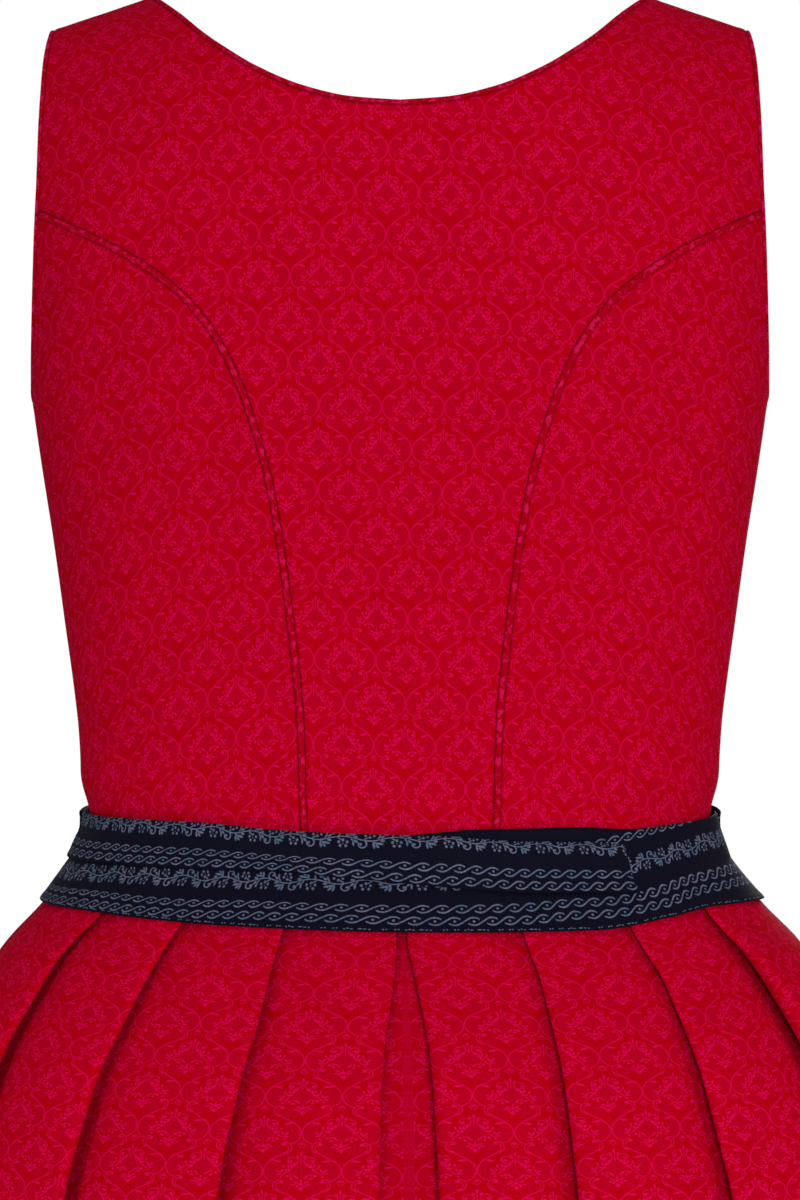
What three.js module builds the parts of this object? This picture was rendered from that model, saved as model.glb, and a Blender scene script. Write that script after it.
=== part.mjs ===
// Sleeveless dirndl in its worn, hollow form. Millimetres, +Z up, the front faces -Y.
// Origin: between the two shoulder straps, level with their tops.
import * as THREE from 'three';
import { mergeVertices } from 'three/addons/utils/BufferGeometryUtils.js';

// ---------------------------------------------------------------- driving dimensions
const SEAM_GAP = 0.3;          // space between neighbouring pieces
const BODICE_WALL = 1.2;       // bodice cloth with its backing
const SKIRT_WALL = 1.3;        // measured level; the wall is thinner square to the flare
const BAND_WALL = 1.0;         // apron band, ties and panel
const CORD_RADIUS = 1.2;       // piping on the princess seams
const EDGE_CORD_RADIUS = 1.0;  // piping at neckline and armholes
const ROLL = 85;               // depth of the shoulder's turn from front to back
const RIDGE_HALF = 186;        // half width of the shoulder line's guide
const NECK_POINT_X = 114;      // inner end of the shoulder seam
const SIDE_TOP_Z = -187;       // bottom of the armhole
const WAIST_Z = -384;
const HEM_Z = -1058;
const BAND_TOP_Z = -380;
const BAND_BOTTOM_Z = -422;
const BAND_OFFSET = 4.8;       // waistband and under tie, out from the form
const OVER_OFFSET = 6.25;      // over tie
const APRON_HEM_Z = -1006;
const APRON_HALF_ANGLE = 62;
const OVERLAP_HALF = 9;        // button stand, each side of the centre front
const OVERLAP_LIFT = 1.9;      // upper front above the lower one
const BUTTON_RADIUS = 5.5;
const BUTTON_HEIGHT = 3;
const BUTTON_ROWS = { count: 7, first: -183, last: -366 };
const BUST = { x: 82, z: -188, rise: 12, wide: 42, tall: 48 };

// Level sections of the whole form: half width, depth behind and before the centre, roundness
const FORM = [
  { z: 60, half_width: 187, back: 84, front: 76, power: 2.40 },
  { z: 0, half_width: 186, back: 88, front: 82, power: 2.40 },
  { z: -50, half_width: 184, back: 93, front: 92, power: 2.40 },
  { z: -90, half_width: 181, back: 97, front: 102, power: 2.40 },
  { z: -130, half_width: 177.3, back: 98.5, front: 112, power: 2.35 },
  { z: -160, half_width: 174.3, back: 98, front: 118, power: 2.30 },
  { z: -187, half_width: 171.8, back: 97, front: 120, power: 2.28 },
  { z: -215, half_width: 168.0, back: 95, front: 119, power: 2.26 },
  { z: -253, half_width: 162.2, back: 91.5, front: 113, power: 2.25 },
  { z: -290, half_width: 157.2, back: 88.5, front: 107, power: 2.25 },
  { z: -328, half_width: 152.2, back: 87, front: 102.5, power: 2.25 },
  { z: -360, half_width: 149.2, back: 86, front: 100, power: 2.25 },
  { z: -384, half_width: 145.5, back: 86, front: 98.5, power: 2.25 },
  { z: -403, half_width: 151, back: 92.5, front: 102, power: 2.22 },
  { z: -422, half_width: 165, back: 107, front: 113, power: 2.20 },
  { z: -445, half_width: 184, back: 126, front: 128, power: 2.16 },
  { z: -490, half_width: 212, back: 155, front: 150, power: 2.12 },
  { z: -580, half_width: 239, back: 187, front: 174, power: 2.08 },
  { z: -760, half_width: 270, back: 218, front: 202, power: 2.05 },
  { z: -1058, half_width: 314, back: 262, front: 246, power: 2.02 },
];

// Edges, from the top down. degrees: round from the centre of that side; x: out from the centre
const ARMHOLE_BACK = [
  { degrees: 61.7, z: -15.5 }, { degrees: 63.0, z: -28 }, { degrees: 64.2, z: -48 },
  { degrees: 66.8, z: -84 }, { degrees: 69.9, z: -110 }, { degrees: 73.5, z: -135 },
  { degrees: 78.6, z: -161 }, { degrees: 84.0, z: -180 }, { degrees: 90.0, z: SIDE_TOP_Z },
];
const ARMHOLE_FRONT = [
  { degrees: 61.7, z: -15.5 }, { degrees: 61.2, z: -28 }, { degrees: 60.8, z: -48 },
  { degrees: 62.0, z: -84 }, { degrees: 65.0, z: -110 }, { degrees: 69.6, z: -135 },
  { degrees: 76.0, z: -161 }, { degrees: 82.6, z: -180 }, { degrees: 90.0, z: SIDE_TOP_Z },
];
const NECK_BACK = [
  { x: 114, z: 0.9 }, { x: 101, z: -8.7 }, { x: 88.6, z: -19 }, { x: 77, z: -27 },
  { x: 65.8, z: -33.8 }, { x: 43.5, z: -43.4 }, { x: 21.8, z: -48.4 }, { x: 0, z: -50 },
];
const NECK_FRONT = [
  { x: 114, z: 0.9 }, { x: 110.5, z: -30 }, { x: 107, z: -62 }, { x: 101, z: -94 },
  { x: 90, z: -121 }, { x: 70, z: -144 }, { x: 40, z: -158.5 }, { x: 0, z: -164 },
];
const PRINCESS_BACK = [
  { x: 147, z: -108.5 }, { x: 121, z: -121.5 }, { x: 95.4, z: -141.2 }, { x: 79, z: -164.3 },
  { x: 67.4, z: -193 }, { x: 57.8, z: -230 }, { x: 50, z: -284 }, { x: 45.2, z: -335 },
  { x: 43.7, z: WAIST_Z },
];
const PRINCESS_FRONT = [
  { x: 141, z: -116 }, { x: 116, z: -139 }, { x: 98, z: -164 }, { x: 86, z: -190 },
  { x: 76, z: -228 }, { x: 64, z: -280 }, { x: 55, z: -332 }, { x: 50, z: WAIST_Z },
];
const PRINCESS_START_Z = { back: -100, front: -101 };

// Pleats of one skirt half, round from the centre behind: fold edge at the waist and at the hem
const PLEATS_BACK = [
  { side: 1, waist: 0.7, hem: 3.4 }, { side: 1, waist: 17.4, hem: 21.1 },
  { side: 1, waist: 35.3, hem: 41.5 }, { side: 1, waist: 55.5, hem: 62.2 },
  { side: -1, waist: 1.1, hem: 5.7 }, { side: -1, waist: 19.2, hem: 20.3 },
  { side: -1, waist: 38.3, hem: 40.2 }, { side: -1, waist: 58.3, hem: 62.3 },
];
const PLEATS_FRONT = [
  { side: 1, waist: 1.4, hem: 4.0 }, { side: 1, waist: 18.5, hem: 21.5 },
  { side: 1, waist: 36.0, hem: 40.5 }, { side: 1, waist: 54.0, hem: 59.5 },
  { side: 1, waist: 72.5, hem: 77.0 },
  { side: -1, waist: 1.2, hem: 4.4 }, { side: -1, waist: 18.0, hem: 20.8 },
  { side: -1, waist: 35.5, hem: 41.0 }, { side: -1, waist: 53.5, hem: 60.0 },
  { side: -1, waist: 72.0, hem: 77.5 },
];
const SKIRT_ROWS = [
  { z: -384.3, settle: 0.0, underlap: 24, lift: 2.2 },
  { z: -403, settle: 0.06, underlap: 23, lift: 2.2 },
  { z: -422, settle: 0.15, underlap: 22, lift: 2.5 },
  { z: -445, settle: 0.33, underlap: 21, lift: 3.6 },
  { z: -490, settle: 0.60, underlap: 20, lift: 5.2 },
  { z: -580, settle: 0.85, underlap: 18, lift: 6.6 },
  { z: -760, settle: 0.95, underlap: 15, lift: 7.6 },
  { z: HEM_Z, settle: 1.0, underlap: 12, lift: 9.0 },
];
// Edges of the under tie, round from the centre behind: it is drawn down a little in the middle
const UNDER_TIE = [
  { degrees: -90, top: -380.6, bottom: -421.6 }, { degrees: -71, top: -381.2, bottom: -420.4 },
  { degrees: -60, top: -381.6, bottom: -420.2 }, { degrees: -46.9, top: -382.6, bottom: -422.9 },
  { degrees: -31.4, top: -380.7, bottom: -425.3 }, { degrees: -14, top: -380.8, bottom: -425.1 },
  { degrees: 0, top: -383.4, bottom: -424.8 }, { degrees: 14, top: -382.6, bottom: -424.0 },
  { degrees: 31.4, top: -380.2, bottom: -422.8 }, { degrees: 46.9, top: -378.8, bottom: -421.5 },
  { degrees: 60, top: -379.8, bottom: -420.6 }, { degrees: 90, top: -380, bottom: -421.6 },
];
// The over tie slopes down towards its free end
const OVER_TIE = [
  { degrees: -43, top: -388.9, bottom: -410.5 }, { degrees: -30, top: -386.8, bottom: -409.2 },
  { degrees: -20, top: -385.9, bottom: -408.6 }, { degrees: -8.6, top: -383.5, bottom: -406 },
  { degrees: 9.8, top: -382.4, bottom: -401.8 }, { degrees: 22.7, top: -381.1, bottom: -399.6 },
  { degrees: 39.8, top: -378.6, bottom: -399.6 }, { degrees: 56.8, top: -378.8, bottom: -399.7 },
  { degrees: 75, top: -379.6, bottom: -400.4 }, { degrees: 102, top: -380, bottom: -403.5 },
];
const APRON_ROWS = [
  { z: BAND_BOTTOM_Z - SEAM_GAP, ripple: 0.9 }, { z: -445, ripple: 1.6 }, { z: -490, ripple: 2.6 },
  { z: -580, ripple: 4.0 }, { z: -760, ripple: 5.5 }, { z: APRON_HEM_Z, ripple: 7.0 },
];
const APRON_RIPPLES = 9;

// ---------------------------------------------------------------- interpolation
const rad = THREE.MathUtils.degToRad;
// Smooth, non-overshooting curve through the rows of a table
function smooth(xs, ys) {
  const rising = xs[xs.length - 1] > xs[0];
  const X = rising ? xs : [...xs].reverse(), Y = rising ? ys : [...ys].reverse();
  const n = X.length, h = [], d = [], m = new Array(n);
  for (let k = 0; k < n - 1; k++) { h.push(X[k + 1] - X[k]); d.push((Y[k + 1] - Y[k]) / (X[k + 1] - X[k])); }
  m[0] = d[0]; m[n - 1] = d[n - 2];
  for (let k = 1; k < n - 1; k++) {
    if (d[k - 1] * d[k] <= 0) { m[k] = 0; continue; }
    const w1 = 2 * h[k] + h[k - 1], w2 = h[k] + 2 * h[k - 1];
    m[k] = (w1 + w2) / (w1 / d[k - 1] + w2 / d[k]);
  }
  return (x) => {
    if (x <= X[0]) return Y[0] + m[0] * (x - X[0]);
    if (x >= X[n - 1]) return Y[n - 1] + m[n - 1] * (x - X[n - 1]);
    let k = 0; while (x > X[k + 1]) k++;
    const t = (x - X[k]) / h[k], t2 = t * t, t3 = t2 * t;
    return (2 * t3 - 3 * t2 + 1) * Y[k] + (t3 - 2 * t2 + t) * h[k] * m[k]
      + (-2 * t3 + 3 * t2) * Y[k + 1] + (t3 - t2) * h[k] * m[k + 1];
  };
}
const column = (rows, key) => rows.map((r) => r[key]);
const byZ = (key) => smooth(column(FORM, 'z'), column(FORM, key));
const halfWidth = byZ('half_width'), backDepth = byZ('back'), frontDepth = byZ('front'), power = byZ('power');
const ridge = (x) => 0.5 + 0.33 * (116 - x);

// ---------------------------------------------------------------- the form
const BACK = 1, FRONT = -1;
const roundness = (s, z) => { const n = power(z); return Math.pow(Math.max(0, 1 - Math.pow(Math.abs(s), n)), 1 / n); };
function formPoint(side, omega, v) {
  const s = Math.sin(omega);
  const phi = Math.min(v / ROLL, 1) * Math.PI / 2;
  const drop = v < ROLL ? ROLL * (1 - Math.cos(phi)) : ROLL + (v - ROLL) * Math.PI / 2;
  const roll = v < ROLL ? Math.sin(phi) : 1;
  const z = ridge(RIDGE_HALF * Math.abs(s)) - drop;
  const x = halfWidth(z) * s, c = roundness(s, z);
  if (side === BACK) return new THREE.Vector3(x, backDepth(z) * c * roll, z);
  const bust = BUST.rise * c * Math.exp(-(((Math.abs(x) - BUST.x) / BUST.wide) ** 2) - (((z - BUST.z) / BUST.tall) ** 2));
  return new THREE.Vector3(x, -(frontDepth(z) * c + bust) * roll, z);
}
function formNormal(side, omega, v) {
  const e = 1e-3, w = 0.05;
  const o0 = Math.max(omega - e, -Math.PI / 2), o1 = Math.min(omega + e, Math.PI / 2);
  const du = formPoint(side, o1, v).sub(formPoint(side, o0, v));
  const dv = formPoint(side, omega, v + w).sub(formPoint(side, omega, Math.max(v - w, 0)));
  const n = du.cross(dv).normalize();
  const p = formPoint(side, omega, v);
  const out = new THREE.Vector3(p.x, p.y, v < ROLL ? 60 : 0);
  return n.dot(out) < 0 ? n.negate() : n;
}
const dropToV = (drop) => (drop < ROLL
  ? ROLL * Math.acos(1 - Math.max(drop, 0) / ROLL) * 2 / Math.PI
  : ROLL + (drop - ROLL) * 2 / Math.PI);
function atAngle(omega, z) { return { omega, v: dropToV(ridge(RIDGE_HALF * Math.abs(Math.sin(omega))) - z) }; }
function atX(x, z) { return atAngle(Math.asin(THREE.MathUtils.clamp(x / halfWidth(z), -1, 1)), z); }

// A table of edge points becomes a curve f(t), t from 0 to 1 by length
function tableCurve(rows, kx, ky, scaleX) {
  const L = [0];
  for (let i = 1; i < rows.length; i++) {
    L.push(L[i - 1] + Math.hypot((rows[i][kx] - rows[i - 1][kx]) * scaleX, rows[i][ky] - rows[i - 1][ky]));
  }
  const T = L.map((l) => l / L[L.length - 1]);
  const fx = smooth(T, column(rows, kx)), fy = smooth(T, column(rows, ky));
  return (t) => [fx(t), fy(t)];
}
const steps = (n, a = 0, b = 1) => Array.from({ length: n + 1 }, (_, i) => a + (b - a) * i / n);

function sideCurves(armholeRows, neckRows, princessRows, startZ, overlap) {
  const armZ = smooth(column(armholeRows, 'z'), column(armholeRows, 'degrees'));
  const arm = tableCurve(armholeRows, 'degrees', 'z', 3);
  const startX = halfWidth(startZ) * Math.sin(rad(armZ(startZ)));
  const princess = tableCurve([{ x: startX, z: startZ }, ...princessRows], 'x', 'z', 1);
  const neck = tableCurve(neckRows, 'x', 'z', 1);
  // the seam starts just inside the armhole's piping
  const princessLength = princessRows.reduce((sum, r, k) => {
    const q = k ? princessRows[k - 1] : { x: startX, z: startZ };
    return sum + Math.hypot(r.x - q.x, r.z - q.z);
  }, 0);
  const seamStart = (2 * EDGE_CORD_RADIUS + SEAM_GAP + 0.4) / princessLength;
  // armhole position where the princess seam starts
  let lo = 0, hi = 1;
  for (let i = 0; i < 50; i++) { const m = (lo + hi) / 2; if (arm(m)[1] > startZ) lo = m; else hi = m; }
  const outer = armholeRows[0].degrees;
  const innerDeg = THREE.MathUtils.radToDeg(Math.asin(NECK_POINT_X / halfWidth(0.9)));
  return {
    shoulder: (n) => steps(n).map((t) => ({ omega: rad(outer + (innerDeg - outer) * t), v: 0 })),
    neck: (n, tEnd = 1) => steps(n, 0, tEnd).map((t) => (t === 0 ? { omega: rad(innerDeg), v: 0 } : atX(...neck(t)))),
    armUpper: (n) => steps(n, 0, lo).map((t) => (t === 0 ? { omega: rad(outer), v: 0 } : atAngle(rad(arm(t)[0]), arm(t)[1]))),
    armLower: (n) => steps(n, lo, 1).map((t) => atAngle(rad(arm(t)[0]), arm(t)[1])),
    princess: (n) => steps(n, seamStart, 1).map((t) => atX(...princess(t))),
    neckAtX: (x) => { let a = 0, b = 1; for (let i = 0; i < 50; i++) { const m = (a + b) / 2; if (neck(m)[0] > x) a = m; else b = m; } return a; },
  };
}
const backCurves = sideCurves(ARMHOLE_BACK, NECK_BACK, PRINCESS_BACK, PRINCESS_START_Z.back);
const frontCurves = sideCurves(ARMHOLE_FRONT, NECK_FRONT, PRINCESS_FRONT, PRINCESS_START_Z.front);
const sideSeam = (n) => steps(n).map((t) => atAngle(Math.PI / 2, SIDE_TOP_Z + (WAIST_Z - SIDE_TOP_Z) * t));
const mirror = (pts) => pts.map((p) => ({ omega: -p.omega, v: p.v }));
const join = (a, b) => [...a.slice(0, -1), ...b];
const waistAt = (omegas) => omegas.map((o) => atAngle(o, WAIST_Z));

// Four edge rows (top and bottom left to right, left and right downwards) fill a grid
// Rows run straight across from side to side; the bend of the top and bottom edges dies away from them.
const FADE = 2.5;
function patch(top, bottom, left, right, us, ts) {
  const last = us.length - 1;
  return ts.map((t, j) => us.map((u, i) => {
    const p = {};
    for (const k of ['omega', 'v']) {
      const across = (a, b) => (1 - u) * a[k] + u * b[k];
      p[k] = across(left[j], right[j]) + (1 - t) ** FADE * (top[i][k] - across(top[0], top[last]))
        + t ** FADE * (bottom[i][k] - across(bottom[0], bottom[last]));
    }
    return p;
  }));
}
const fractions = (pts, side) => {
  const P = pts.map((p) => formPoint(side, p.omega, p.v));
  const L = [0]; for (let i = 1; i < P.length; i++) L.push(L[i - 1] + P[i].distanceTo(P[i - 1]));
  return L.map((l) => l / L[L.length - 1]);
};
const byHeight = (pts, side, bend = 1) => {
  const Z = pts.map((p) => formPoint(side, p.omega, p.v).z);
  return Z.map((z) => Math.pow((z - Z[0]) / (Z[Z.length - 1] - Z[0]), bend));
};

// ---------------------------------------------------------------- solids
const material = (name, color, roughness) => Object.assign(new THREE.MeshStandardMaterial({ color, roughness, metalness: 0 }), { name });
const redCotton = material('red_cotton', 0xb80322, 0.85);
const navyCotton = material('navy_cotton', 0x1c1f2f, 0.85);
const group = new THREE.Group();

function addSolid(name, verts, tris, mat) {
  let g = new THREE.BufferGeometry();
  g.setAttribute('position', new THREE.BufferAttribute(new Float32Array(verts.flatMap((v) => [v.x, v.y, v.z])), 3));
  let volume = 0;
  for (const [a, b, c] of tris) volume += verts[a].dot(new THREE.Vector3().crossVectors(verts[b], verts[c]));
  g.setIndex(tris.flatMap(([a, b, c]) => (volume > 0 ? [a, b, c] : [a, c, b])));
  g = mergeVertices(g, 1e-3);
  g.computeVertexNormals();
  const mesh = new THREE.Mesh(g, mat);
  mesh.name = name;
  group.add(mesh);
}
// Two matching grids, outside and inside, closed round their edge
function addWall(name, outer, inner, mat) {
  const R = outer.length, C = outer[0].length, verts = [...outer.flat(), ...inner.flat()], tris = [];
  const id = (layer, j, i) => layer * R * C + j * C + i;
  for (let j = 0; j < R - 1; j++) for (let i = 0; i < C - 1; i++) {
    const a = [j, i], b = [j, i + 1], c = [j + 1, i + 1], d = [j + 1, i];
    const ac = outer[j][i].distanceTo(outer[j + 1][i + 1]), bd = outer[j][i + 1].distanceTo(outer[j + 1][i]);
    const two = ac <= bd ? [[a, b, c], [a, c, d]] : [[a, b, d], [b, c, d]];
    for (const t of two) {
      tris.push(t.map((q) => id(0, ...q)));
      tris.push([t[0], t[2], t[1]].map((q) => id(1, ...q)));
    }
  }
  const rim = (p, q) => { tris.push([id(0, ...q), id(0, ...p), id(1, ...p)], [id(0, ...q), id(1, ...p), id(1, ...q)]); };
  for (let i = 0; i < C - 1; i++) { rim([0, i], [0, i + 1]); rim([R - 1, i + 1], [R - 1, i]); }
  for (let j = 0; j < R - 1; j++) { rim([j + 1, 0], [j, 0]); rim([j, C - 1], [j + 1, C - 1]); }
  addSolid(name, verts, tris, mat);
}
// Move a grid's edge inwards by a distance, square to the edge. At a corner in the edge the
// direction comes from the stretch before it or after it.
function inset(grid, edge, distances, corner = {}) {
  const R = grid.length, C = grid[0].length, moves = [];
  const at = (j, i) => grid[THREE.MathUtils.clamp(j, 0, R - 1)][THREE.MathUtils.clamp(i, 0, C - 1)];
  const count = edge === 'top' || edge === 'bottom' ? C : R;
  for (let k = 0; k < count; k++) {
    const j = edge === 'top' ? 0 : edge === 'bottom' ? R - 1 : k, i = edge === 'left' ? 0 : edge === 'right' ? C - 1 : k;
    const back = corner[k] === 'after' ? 0 : 1, ahead = corner[k] === 'before' ? 0 : 1;
    const along = edge === 'top' || edge === 'bottom' ? at(j, i + ahead).clone().sub(at(j, i - back)) : at(j + ahead, i).clone().sub(at(j - back, i));
    const inward = edge === 'top' ? at(1, i) : edge === 'bottom' ? at(R - 2, i) : edge === 'left' ? at(j, 1) : at(j, C - 2);
    along.normalize();
    const dir = inward.clone().sub(at(j, i)); dir.addScaledVector(along, -dir.dot(along)).normalize();
    moves.push([j, i, dir.multiplyScalar(typeof distances === 'number' ? distances : distances(k))]);
  }
  return moves;
}
function addPanel(name, side, domain, edges, corners = {}, lift = () => 0) {
  const mid = domain.map((row) => row.map((p) => formPoint(side, p.omega, p.v)));
  const nor = domain.map((row) => row.map((p) => formNormal(side, p.omega, p.v)));
  const moves = Object.entries(edges).flatMap(([edge, d]) => inset(mid, edge, d, corners[edge]));
  for (const [j, i, d] of moves) mid[j][i].add(d);
  const layer = (o) => mid.map((row, j) => row.map((p, i) => p.clone().addScaledVector(nor[j][i], o + lift(domain[j][i]))));
  addWall(name, layer(BODICE_WALL / 2), layer(-BODICE_WALL / 2), redCotton);
}
// A run of straight stretches that passes exactly through its points
class Run extends THREE.Curve {
  constructor(points) { super(); this.points = points; }
  getPoint(t, target = new THREE.Vector3()) {
    const k = Math.min(Math.floor(t * (this.points.length - 1) + 1e-9), this.points.length - 2);
    return target.copy(this.points[k]).lerp(this.points[k + 1], t * (this.points.length - 1) - k);
  }
  getPointAt(t, target) { return this.getPoint(t, target); }
  getTangent(t, target = new THREE.Vector3()) {
    const P = this.points, k = Math.round(t * (P.length - 1));
    const a = k > 0 ? P[k].clone().sub(P[k - 1]).normalize() : new THREE.Vector3();
    const b = k < P.length - 1 ? P[k + 1].clone().sub(P[k]).normalize() : new THREE.Vector3();
    return target.copy(a.add(b)).normalize();
  }
  getTangentAt(t, target) { return this.getTangent(t, target); }
}
function addCord(name, points, radius, mat, sides = 6) {
  const shape = new THREE.Shape(steps(sides).slice(0, sides).map((t) => new THREE.Vector2(radius * Math.cos(2 * Math.PI * t), radius * Math.sin(2 * Math.PI * t))));
  let g = new THREE.ExtrudeGeometry(shape, { steps: points.length - 1, bevelEnabled: false, extrudePath: new Run(points) });
  g.deleteAttribute('normal'); g.deleteAttribute('uv');
  g = mergeVertices(g, 1e-3); g.computeVertexNormals();
  const mesh = new THREE.Mesh(g, mat); mesh.name = name; group.add(mesh);
}
// Shorten a run of points by a length at each end
function trim(points, start, end) {
  const cut = (P, length) => {
    const Q = [...P];
    let left = length;
    while (Q[0].distanceTo(Q[1]) <= left + 0.5) { left -= Q[0].distanceTo(Q[1]); Q.shift(); }
    Q[0] = Q[0].clone().add(Q[1].clone().sub(Q[0]).setLength(Math.max(left, 0)));
    return Q;
  };
  return cut(cut(points, start).reverse(), end).reverse();
}

// ---------------------------------------------------------------- bodice panels
const N = { shoulder: 2, neckBack: 6, neckFront: 8, armUpper: 4, armLower: 5, princess: 11, side: 11, frontAcross: 6 };
const half = SEAM_GAP / 2, edgeInset = 2 * EDGE_CORD_RADIUS + SEAM_GAP + 0.1, neckInset = edgeInset + 0.17;
{ // centre back
  const topHalf = join(backCurves.shoulder(N.shoulder), backCurves.neck(N.neckBack));
  const top = join(topHalf, mirror([...topHalf].reverse()));
  const left = join(backCurves.armUpper(N.armUpper), backCurves.princess(N.princess));
  const right = mirror(left);
  const us = fractions(top, BACK), ts = byHeight(left, BACK, 1.12);
  const o = left[left.length - 1].omega;
  const bottom = waistAt(us.map((u) => o * (1 - 2 * u)));
  const domain = patch(top, bottom, left, right, us, ts);
  const last = top.length - 1;
  addPanel('back_center', BACK, domain, {
    top: (k) => (k <= N.shoulder - 1 || k >= last - N.shoulder + 1 ? half : neckInset),
    left: (k) => (k < N.armUpper ? edgeInset : half), right: (k) => (k < N.armUpper ? edgeInset : half), bottom: half,
  }, { left: { [N.armUpper]: 'after' }, right: { [N.armUpper]: 'after' }, top: { [N.shoulder]: 'after', [last - N.shoulder]: 'before' } });
}
function sidePanel(name, side, curves, hand) {
  const flip = hand > 0 ? (p) => p : mirror;
  const left = flip(curves.princess(N.princess)), right = flip(sideSeam(N.side));
  const top = [left[0], ...flip(curves.armLower(N.armLower)).slice(1)];
  const us = fractions(top, side), ts = fractions(left, side);
  const a = left[left.length - 1].omega, b = right[right.length - 1].omega;
  const rightByT = ts.map((t) => atAngle(b, SIDE_TOP_Z + (WAIST_Z - SIDE_TOP_Z) * t));
  const bottom = waistAt(us.map((u) => a + (b - a) * u));
  addPanel(name, side, patch(top, bottom, left, rightByT, us, ts), { top: (k) => (k === 0 ? 0 : edgeInset), left: half, right: half, bottom: half });
}
sidePanel('side_back_left', BACK, backCurves, 1);
sidePanel('side_back_right', BACK, backCurves, -1);
sidePanel('side_front_left', FRONT, frontCurves, 1);
sidePanel('side_front_right', FRONT, frontCurves, -1);

// Centre fronts: each reaches past the centre, the wearer's right one on top
const NECK_LOW_Z = NECK_FRONT[NECK_FRONT.length - 1].z;
const frontNeck = () => frontCurves.neck(N.neckFront, frontCurves.neckAtX(OVERLAP_HALF));
const overlapTip = () => atX(-OVERLAP_HALF, NECK_LOW_Z);
// how far the wearer's right front is raised over the left one
const overlapLift = (x) => OVERLAP_LIFT * THREE.MathUtils.smoothstep(x, -OVERLAP_HALF - 22, -OVERLAP_HALF - 1);
function centerFront(name, hand) {
  const left = join(frontCurves.armUpper(N.armUpper), frontCurves.princess(N.princess));
  const neck = [...frontNeck(), overlapTip()], edgeRows = left.length - neck.length;
  const edge = steps(edgeRows).slice(1).map((t) => atX(-OVERLAP_HALF, NECK_LOW_Z + (WAIST_Z - NECK_LOW_Z) * t));
  const right = [...neck, ...edge];
  const top = frontCurves.shoulder(N.frontAcross), us = steps(N.frontAcross);
  const tl = byHeight(left, FRONT), tr = byHeight(right, FRONT), ts = tl.map((t, k) => (t + tr[k]) / 2);
  const a = left[left.length - 1].omega, b = right[right.length - 1].omega;
  const bottom = waistAt(us.map((u) => a + (b - a) * u));
  let domain = patch(top, bottom, left, right, us, ts);
  if (hand < 0) domain = domain.map((row) => row.map((p) => ({ omega: -p.omega, v: p.v })));
  addPanel(name, FRONT, domain, {
    top: half, bottom: half, left: (k) => (k < N.armUpper ? edgeInset : half), right: (k) => (k < neck.length ? edgeInset : 0),
  }, { left: { [N.armUpper]: 'after' }, right: { [neck.length - 1]: 'before' } },
  hand < 0 ? (p) => overlapLift(formPoint(FRONT, p.omega, p.v).x) : undefined);
}
centerFront('center_front_left', 1);
centerFront('center_front_right', -1);

// ---------------------------------------------------------------- piping
const CORD_LIFT = BODICE_WALL / 2 + SEAM_GAP + CORD_RADIUS;
function onForm(side, pts, lift) { return pts.map((p) => formPoint(side, p.omega, p.v).addScaledVector(formNormal(side, p.omega, p.v), lift)); }
for (const [tag, side, curves] of [['back', BACK, backCurves], ['front', FRONT, frontCurves]]) {
  for (const [hand, name] of [[1, 'left'], [-1, 'right']]) {
    const pts = onForm(side, curves.princess(N.princess), CORD_LIFT).map((p) => new THREE.Vector3(p.x * hand, p.y, p.z));
    addCord(`piping_${tag}_${name}`, trim(pts, 1.6, 0.6), CORD_RADIUS, redCotton);
  }
}
// Edge cords follow the outer rim of the panels
function edgePath(side, pts, towards) {
  const mid = pts.map((p) => formPoint(side, p.omega, p.v));
  return mid.map((p, k) => {
    const along = mid[Math.min(k + 1, mid.length - 1)].clone().sub(mid[Math.max(k - 1, 0)]).normalize();
    const n = formNormal(side, pts[k].omega, pts[k].v);
    const dir = new THREE.Vector3().crossVectors(n, along).normalize();
    if (dir.dot(towards(p).sub(p)) < 0) dir.negate();
    return p.clone().addScaledVector(dir, EDGE_CORD_RADIUS);
  });
}
{
  const down = (p) => new THREE.Vector3(p.x * 1.4, p.y * 1.02, p.z - 60);
  const backHalf = edgePath(BACK, backCurves.neck(N.neckBack), down);
  const frontHalf = edgePath(FRONT, [...frontNeck(), overlapTip()], down);
  const m = (p) => new THREE.Vector3(-p.x, p.y, p.z);
  // from the left front, round the back, to the edge of the right front on top
  const start = trim([...frontHalf].slice(0, -1).reverse(), 1.4, 0).slice(0, -1);
  const end = trim([...frontHalf].map((p) => new THREE.Vector3(-p.x, p.y - overlapLift(-p.x), p.z)), 0, 0.4);
  addCord('neck_piping', [...start, ...backHalf.slice(0, -1), ...[...backHalf].reverse().map(m).slice(0, -1), ...end], EDGE_CORD_RADIUS, redCotton);
  for (const [hand, name] of [[1, 'left'], [-1, 'right']]) {
    const away = (p) => new THREE.Vector3(p.x * 0.7, p.y * 2.2, p.z - 25);
    const b = edgePath(BACK, join(backCurves.armUpper(N.armUpper), backCurves.armLower(N.armLower)), away);
    const f = edgePath(FRONT, join(frontCurves.armUpper(N.armUpper), frontCurves.armLower(N.armLower)), away);
    const loop = [...[...b].reverse().slice(0, -1), ...f].map((p) => new THREE.Vector3(p.x * hand, p.y, p.z));
    addCord(`armhole_piping_${name}`, trim(loop, 0.6, 0.6), EDGE_CORD_RADIUS, redCotton);
  }
}

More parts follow.
